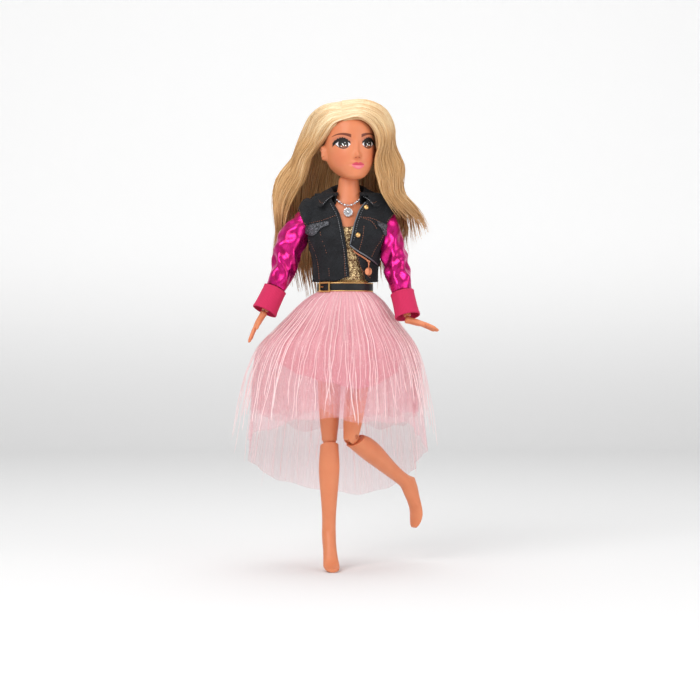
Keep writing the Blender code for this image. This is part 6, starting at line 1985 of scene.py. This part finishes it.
@dataclass(frozen=True)
class Hand:
    """One slim vinyl hand with its fingers together."""

    side: Side
    palm: tuple = ((0.0, 1.7, 1.7), (0.06, 2.4, 2.3), (0.2, 2.4, 2.1), (0.42, 2.9, 2.0), (0.7, 3.4, 1.9),
                   (1.0, 3.3, 1.4))
    fingers: tuple = ((-0.37, 0.86, 0.08), (-0.125, 1.0, 0.02), (0.125, 0.95, -0.025), (0.36, 0.78, -0.085))

    def _finger(self, start: Vector, way: Vector, length: float, radius: float,
                curl: float) -> tuple[list[Vector], list[float]]:
        """Returns a finger's line and its radius along it."""
        path, radii = [], []
        for t in evenly(0, 1, 12):
            bend = Vector((-self.side.value * curl * t * t, 0, 0))
            path.append(start + way * (length * t) + bend)
            knuckle = 0.06 * math.exp(-((t - 0.42) / 0.09) ** 2) + 0.04 * math.exp(-((t - 0.72) / 0.08) ** 2)
            radii.append(radius * (1.0 + knuckle - 0.22 * t - 0.55 * smooth_step((t - 0.88) / 0.12)))
        return path, radii

    def build(self) -> None:
        """Moulds the hand in one piece from its palm and fingers."""
        word, flip = self.side.word, self.side.value
        shop = Workshop(f"hand_{word}")
        rows = []
        for share, wide, thick in [(s, *row_at(self.palm, s)) for s in evenly(0, 1, 14)]:
            z = 2.1 - share * 11.3
            rows.append([Vector((thick * math.sin(math.tau * i / 20), -wide * math.cos(math.tau * i / 20), z))
                         for i in range(20)])
        palm = shop.grid("palm", rows, look(SKIN), True, True)
        lines = []
        for across, long, fan in self.fingers:
            way = Vector((-flip * 0.06, -fan, -1)).normalized()
            lines.append(self._finger(Vector((0, across * 6.6, -8.0)), way, 11.9 * long, 1.16, 0.9))
        thumb = Vector((-flip * 0.16, -0.36, -1)).normalized()
        lines.append(self._finger(Vector((-flip * 0.3, -1.8, -2.8)), thumb, 8.8, 1.2, 0.4))
        digits = shop.tubes("digits", lines, look(SKIN), 10)
        shape = bmesh.new()
        shape.from_mesh(palm.data)
        shape.from_mesh(digits.data)
        bmesh.ops.recalc_face_normals(shape, faces=shape.faces)
        shape.to_mesh(palm.data)
        shape.free()
        bpy.data.objects.remove(digits)
        mould = palm.modifiers.new("Moulded", "REMESH")
        mould.mode = "VOXEL"
        mould.voxel_size = 0.26 * MM
        mould.use_smooth_shade = True
        ease = palm.modifiers.new("Eased", "SMOOTH")
        ease.factor = 0.5
        ease.iterations = 3
        shop.settle(palm)
        palm.name = f"hand_{word}_vinyl"
        palm.matrix_world = BONES.hand(self.side)
        shop.keep(palm, [f"hand_{word}"])


@dataclass(frozen=True)
class Body:
    """The moulded pieces and metal trim that keep their shape and get their finish."""

    finishes: tuple = (
        ("torso_", SKIN), ("neck_ball", SKIN), ("upper_arm_", SKIN), ("forearm_", SKIN),
        ("hip_cap_", SKIN), ("thigh_", SKIN), ("shin_", SKIN), ("shoulder_peg_", PEG), ("elbow_pin_", PEG),
        ("wrist_peg_", PEG), ("hip_peg_", PEG), ("knee_pin_", PEG), ("belt_buckle", GOLD),
        ("jacket_button_", GOLD), ("zip_puller", COPPER), ("pendant", SILVER), ("skirt_waistband", SATIN),
    )

    rounded: tuple = ("thigh_", "shin_", "upper_arm_", "forearm_", "hip_cap_", "torso_")

    def _round(self, node: bpy.types.Object) -> None:
        """Rounds a moulded piece's flats and keeps its rims."""
        weld = node.modifiers.new("Joined", "WELD")
        weld.merge_threshold = 0.01 * MM
        merge = node.modifiers.new("Flats", "DECIMATE")
        merge.decimate_type = "DISSOLVE"
        merge.angle_limit = math.radians(1.5)
        rim = node.modifiers.new("Rims", "BEVEL")
        rim.width, rim.segments, rim.limit_method, rim.angle_limit = 0.2 * MM, 2, "ANGLE", math.radians(40)
        smooth = node.modifiers.new("Rounded", "SUBSURF")
        smooth.levels = smooth.render_levels = 2

    def build(self, nodes: dict[str, bpy.types.Object]) -> None:
        """Gives each piece its finish."""
        for name, node in nodes.items():
            if name.startswith(self.rounded):
                self._round(node)
            for start, finish in self.finishes:
                if name.startswith(start):
                    for place in node.material_slots:
                        place.material = look(finish)
                    LOG.info("%s: %s", name, finish.name)


@dataclass(frozen=True)
class Room:
    """The pale floor and backdrop, the soft lamps and the camera."""

    floor_z: float = -175.9
    middle: Vector = Vector((3.1, 0.0, -39.0))
    distance: float = 1033.0

    def _lamp(self, name: str, place: tuple[float, float, float], size: float, power: float) -> None:
        """Hangs one soft square lamp that points at the doll."""
        data = bpy.data.lights.new(name, "AREA")
        data.size, data.energy = size, power
        lamp = bpy.data.objects.new(name, data)
        bpy.context.scene.collection.objects.link(lamp)
        lamp.location = place
        way = self.middle * MM - lamp.location
        lamp.rotation_euler = way.to_track_quat("-Z", "Y").to_euler()

    def build(self) -> None:
        """Sets the stage."""
        scene = bpy.context.scene
        shop = Workshop("torso")
        rows = []
        profile = [(-1900, 0), (-700, 0), (0, 0), (1200, 0)]
        profile += [(1200 + 300 * math.sin(a), 300 - 300 * math.cos(a)) for a in evenly(0.1, math.pi / 2, 12)]
        profile += [(1500, 900), (1500, 2200)]
        for y, z in profile:
            rows.append([Vector((x, y, self.floor_z + z)) for x in evenly(-2900, 2900, 9)])
        board = shop.grid("studio_board", rows, look(Studio()))
        self._lamp("key_lamp", (-0.55, -0.95, 0.75), 0.8, 9.0)
        self._lamp("fill_lamp", (0.95, -0.8, 0.25), 0.9, 4.5)
        self._lamp("top_lamp", (0.0, 0.15, 1.1), 0.9, 5.0)
        world = bpy.data.worlds.new("studio")
        scene.world = world
        world.use_nodes = True
        tree = world.node_tree
        tree.nodes["Background"].inputs["Color"].default_value = (1.0, 1.0, 1.0, 1.0)
        tree.nodes["Background"].inputs["Strength"].default_value = 0.55
        data = bpy.data.cameras.new("camera")
        data.lens, data.sensor_width = 85.0, 36.0
        camera = bpy.data.objects.new("camera", data)
        scene.collection.objects.link(camera)
        camera.location = (self.middle + Vector((0, -self.distance, 0))) * MM
        camera.rotation_euler = (math.pi / 2, 0, 0)
        scene.camera = camera
        scene.view_settings.view_transform = "Standard"


def main() -> None:
    """Builds the doll's pieces in order."""
    logging.basicConfig(level=logging.INFO, format="%(name)s: %(message)s")
    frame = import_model()
    Room().build()
    Body().build(frame["nodes"])
    Head().build()
    Neck().build()
    Hairdo().build()
    GlitterTop().build()
    Jacket().build()
    Sleeve(Side.LEFT, 0.1, 0.4).build()
    Sleeve(Side.RIGHT, 0.3, 3.2).build()
    Belt().build()
    Skirt().build()
    Necklace().build()
    for side in Side:
        Hand(side).build()


if __name__ == "__main__":
    main()
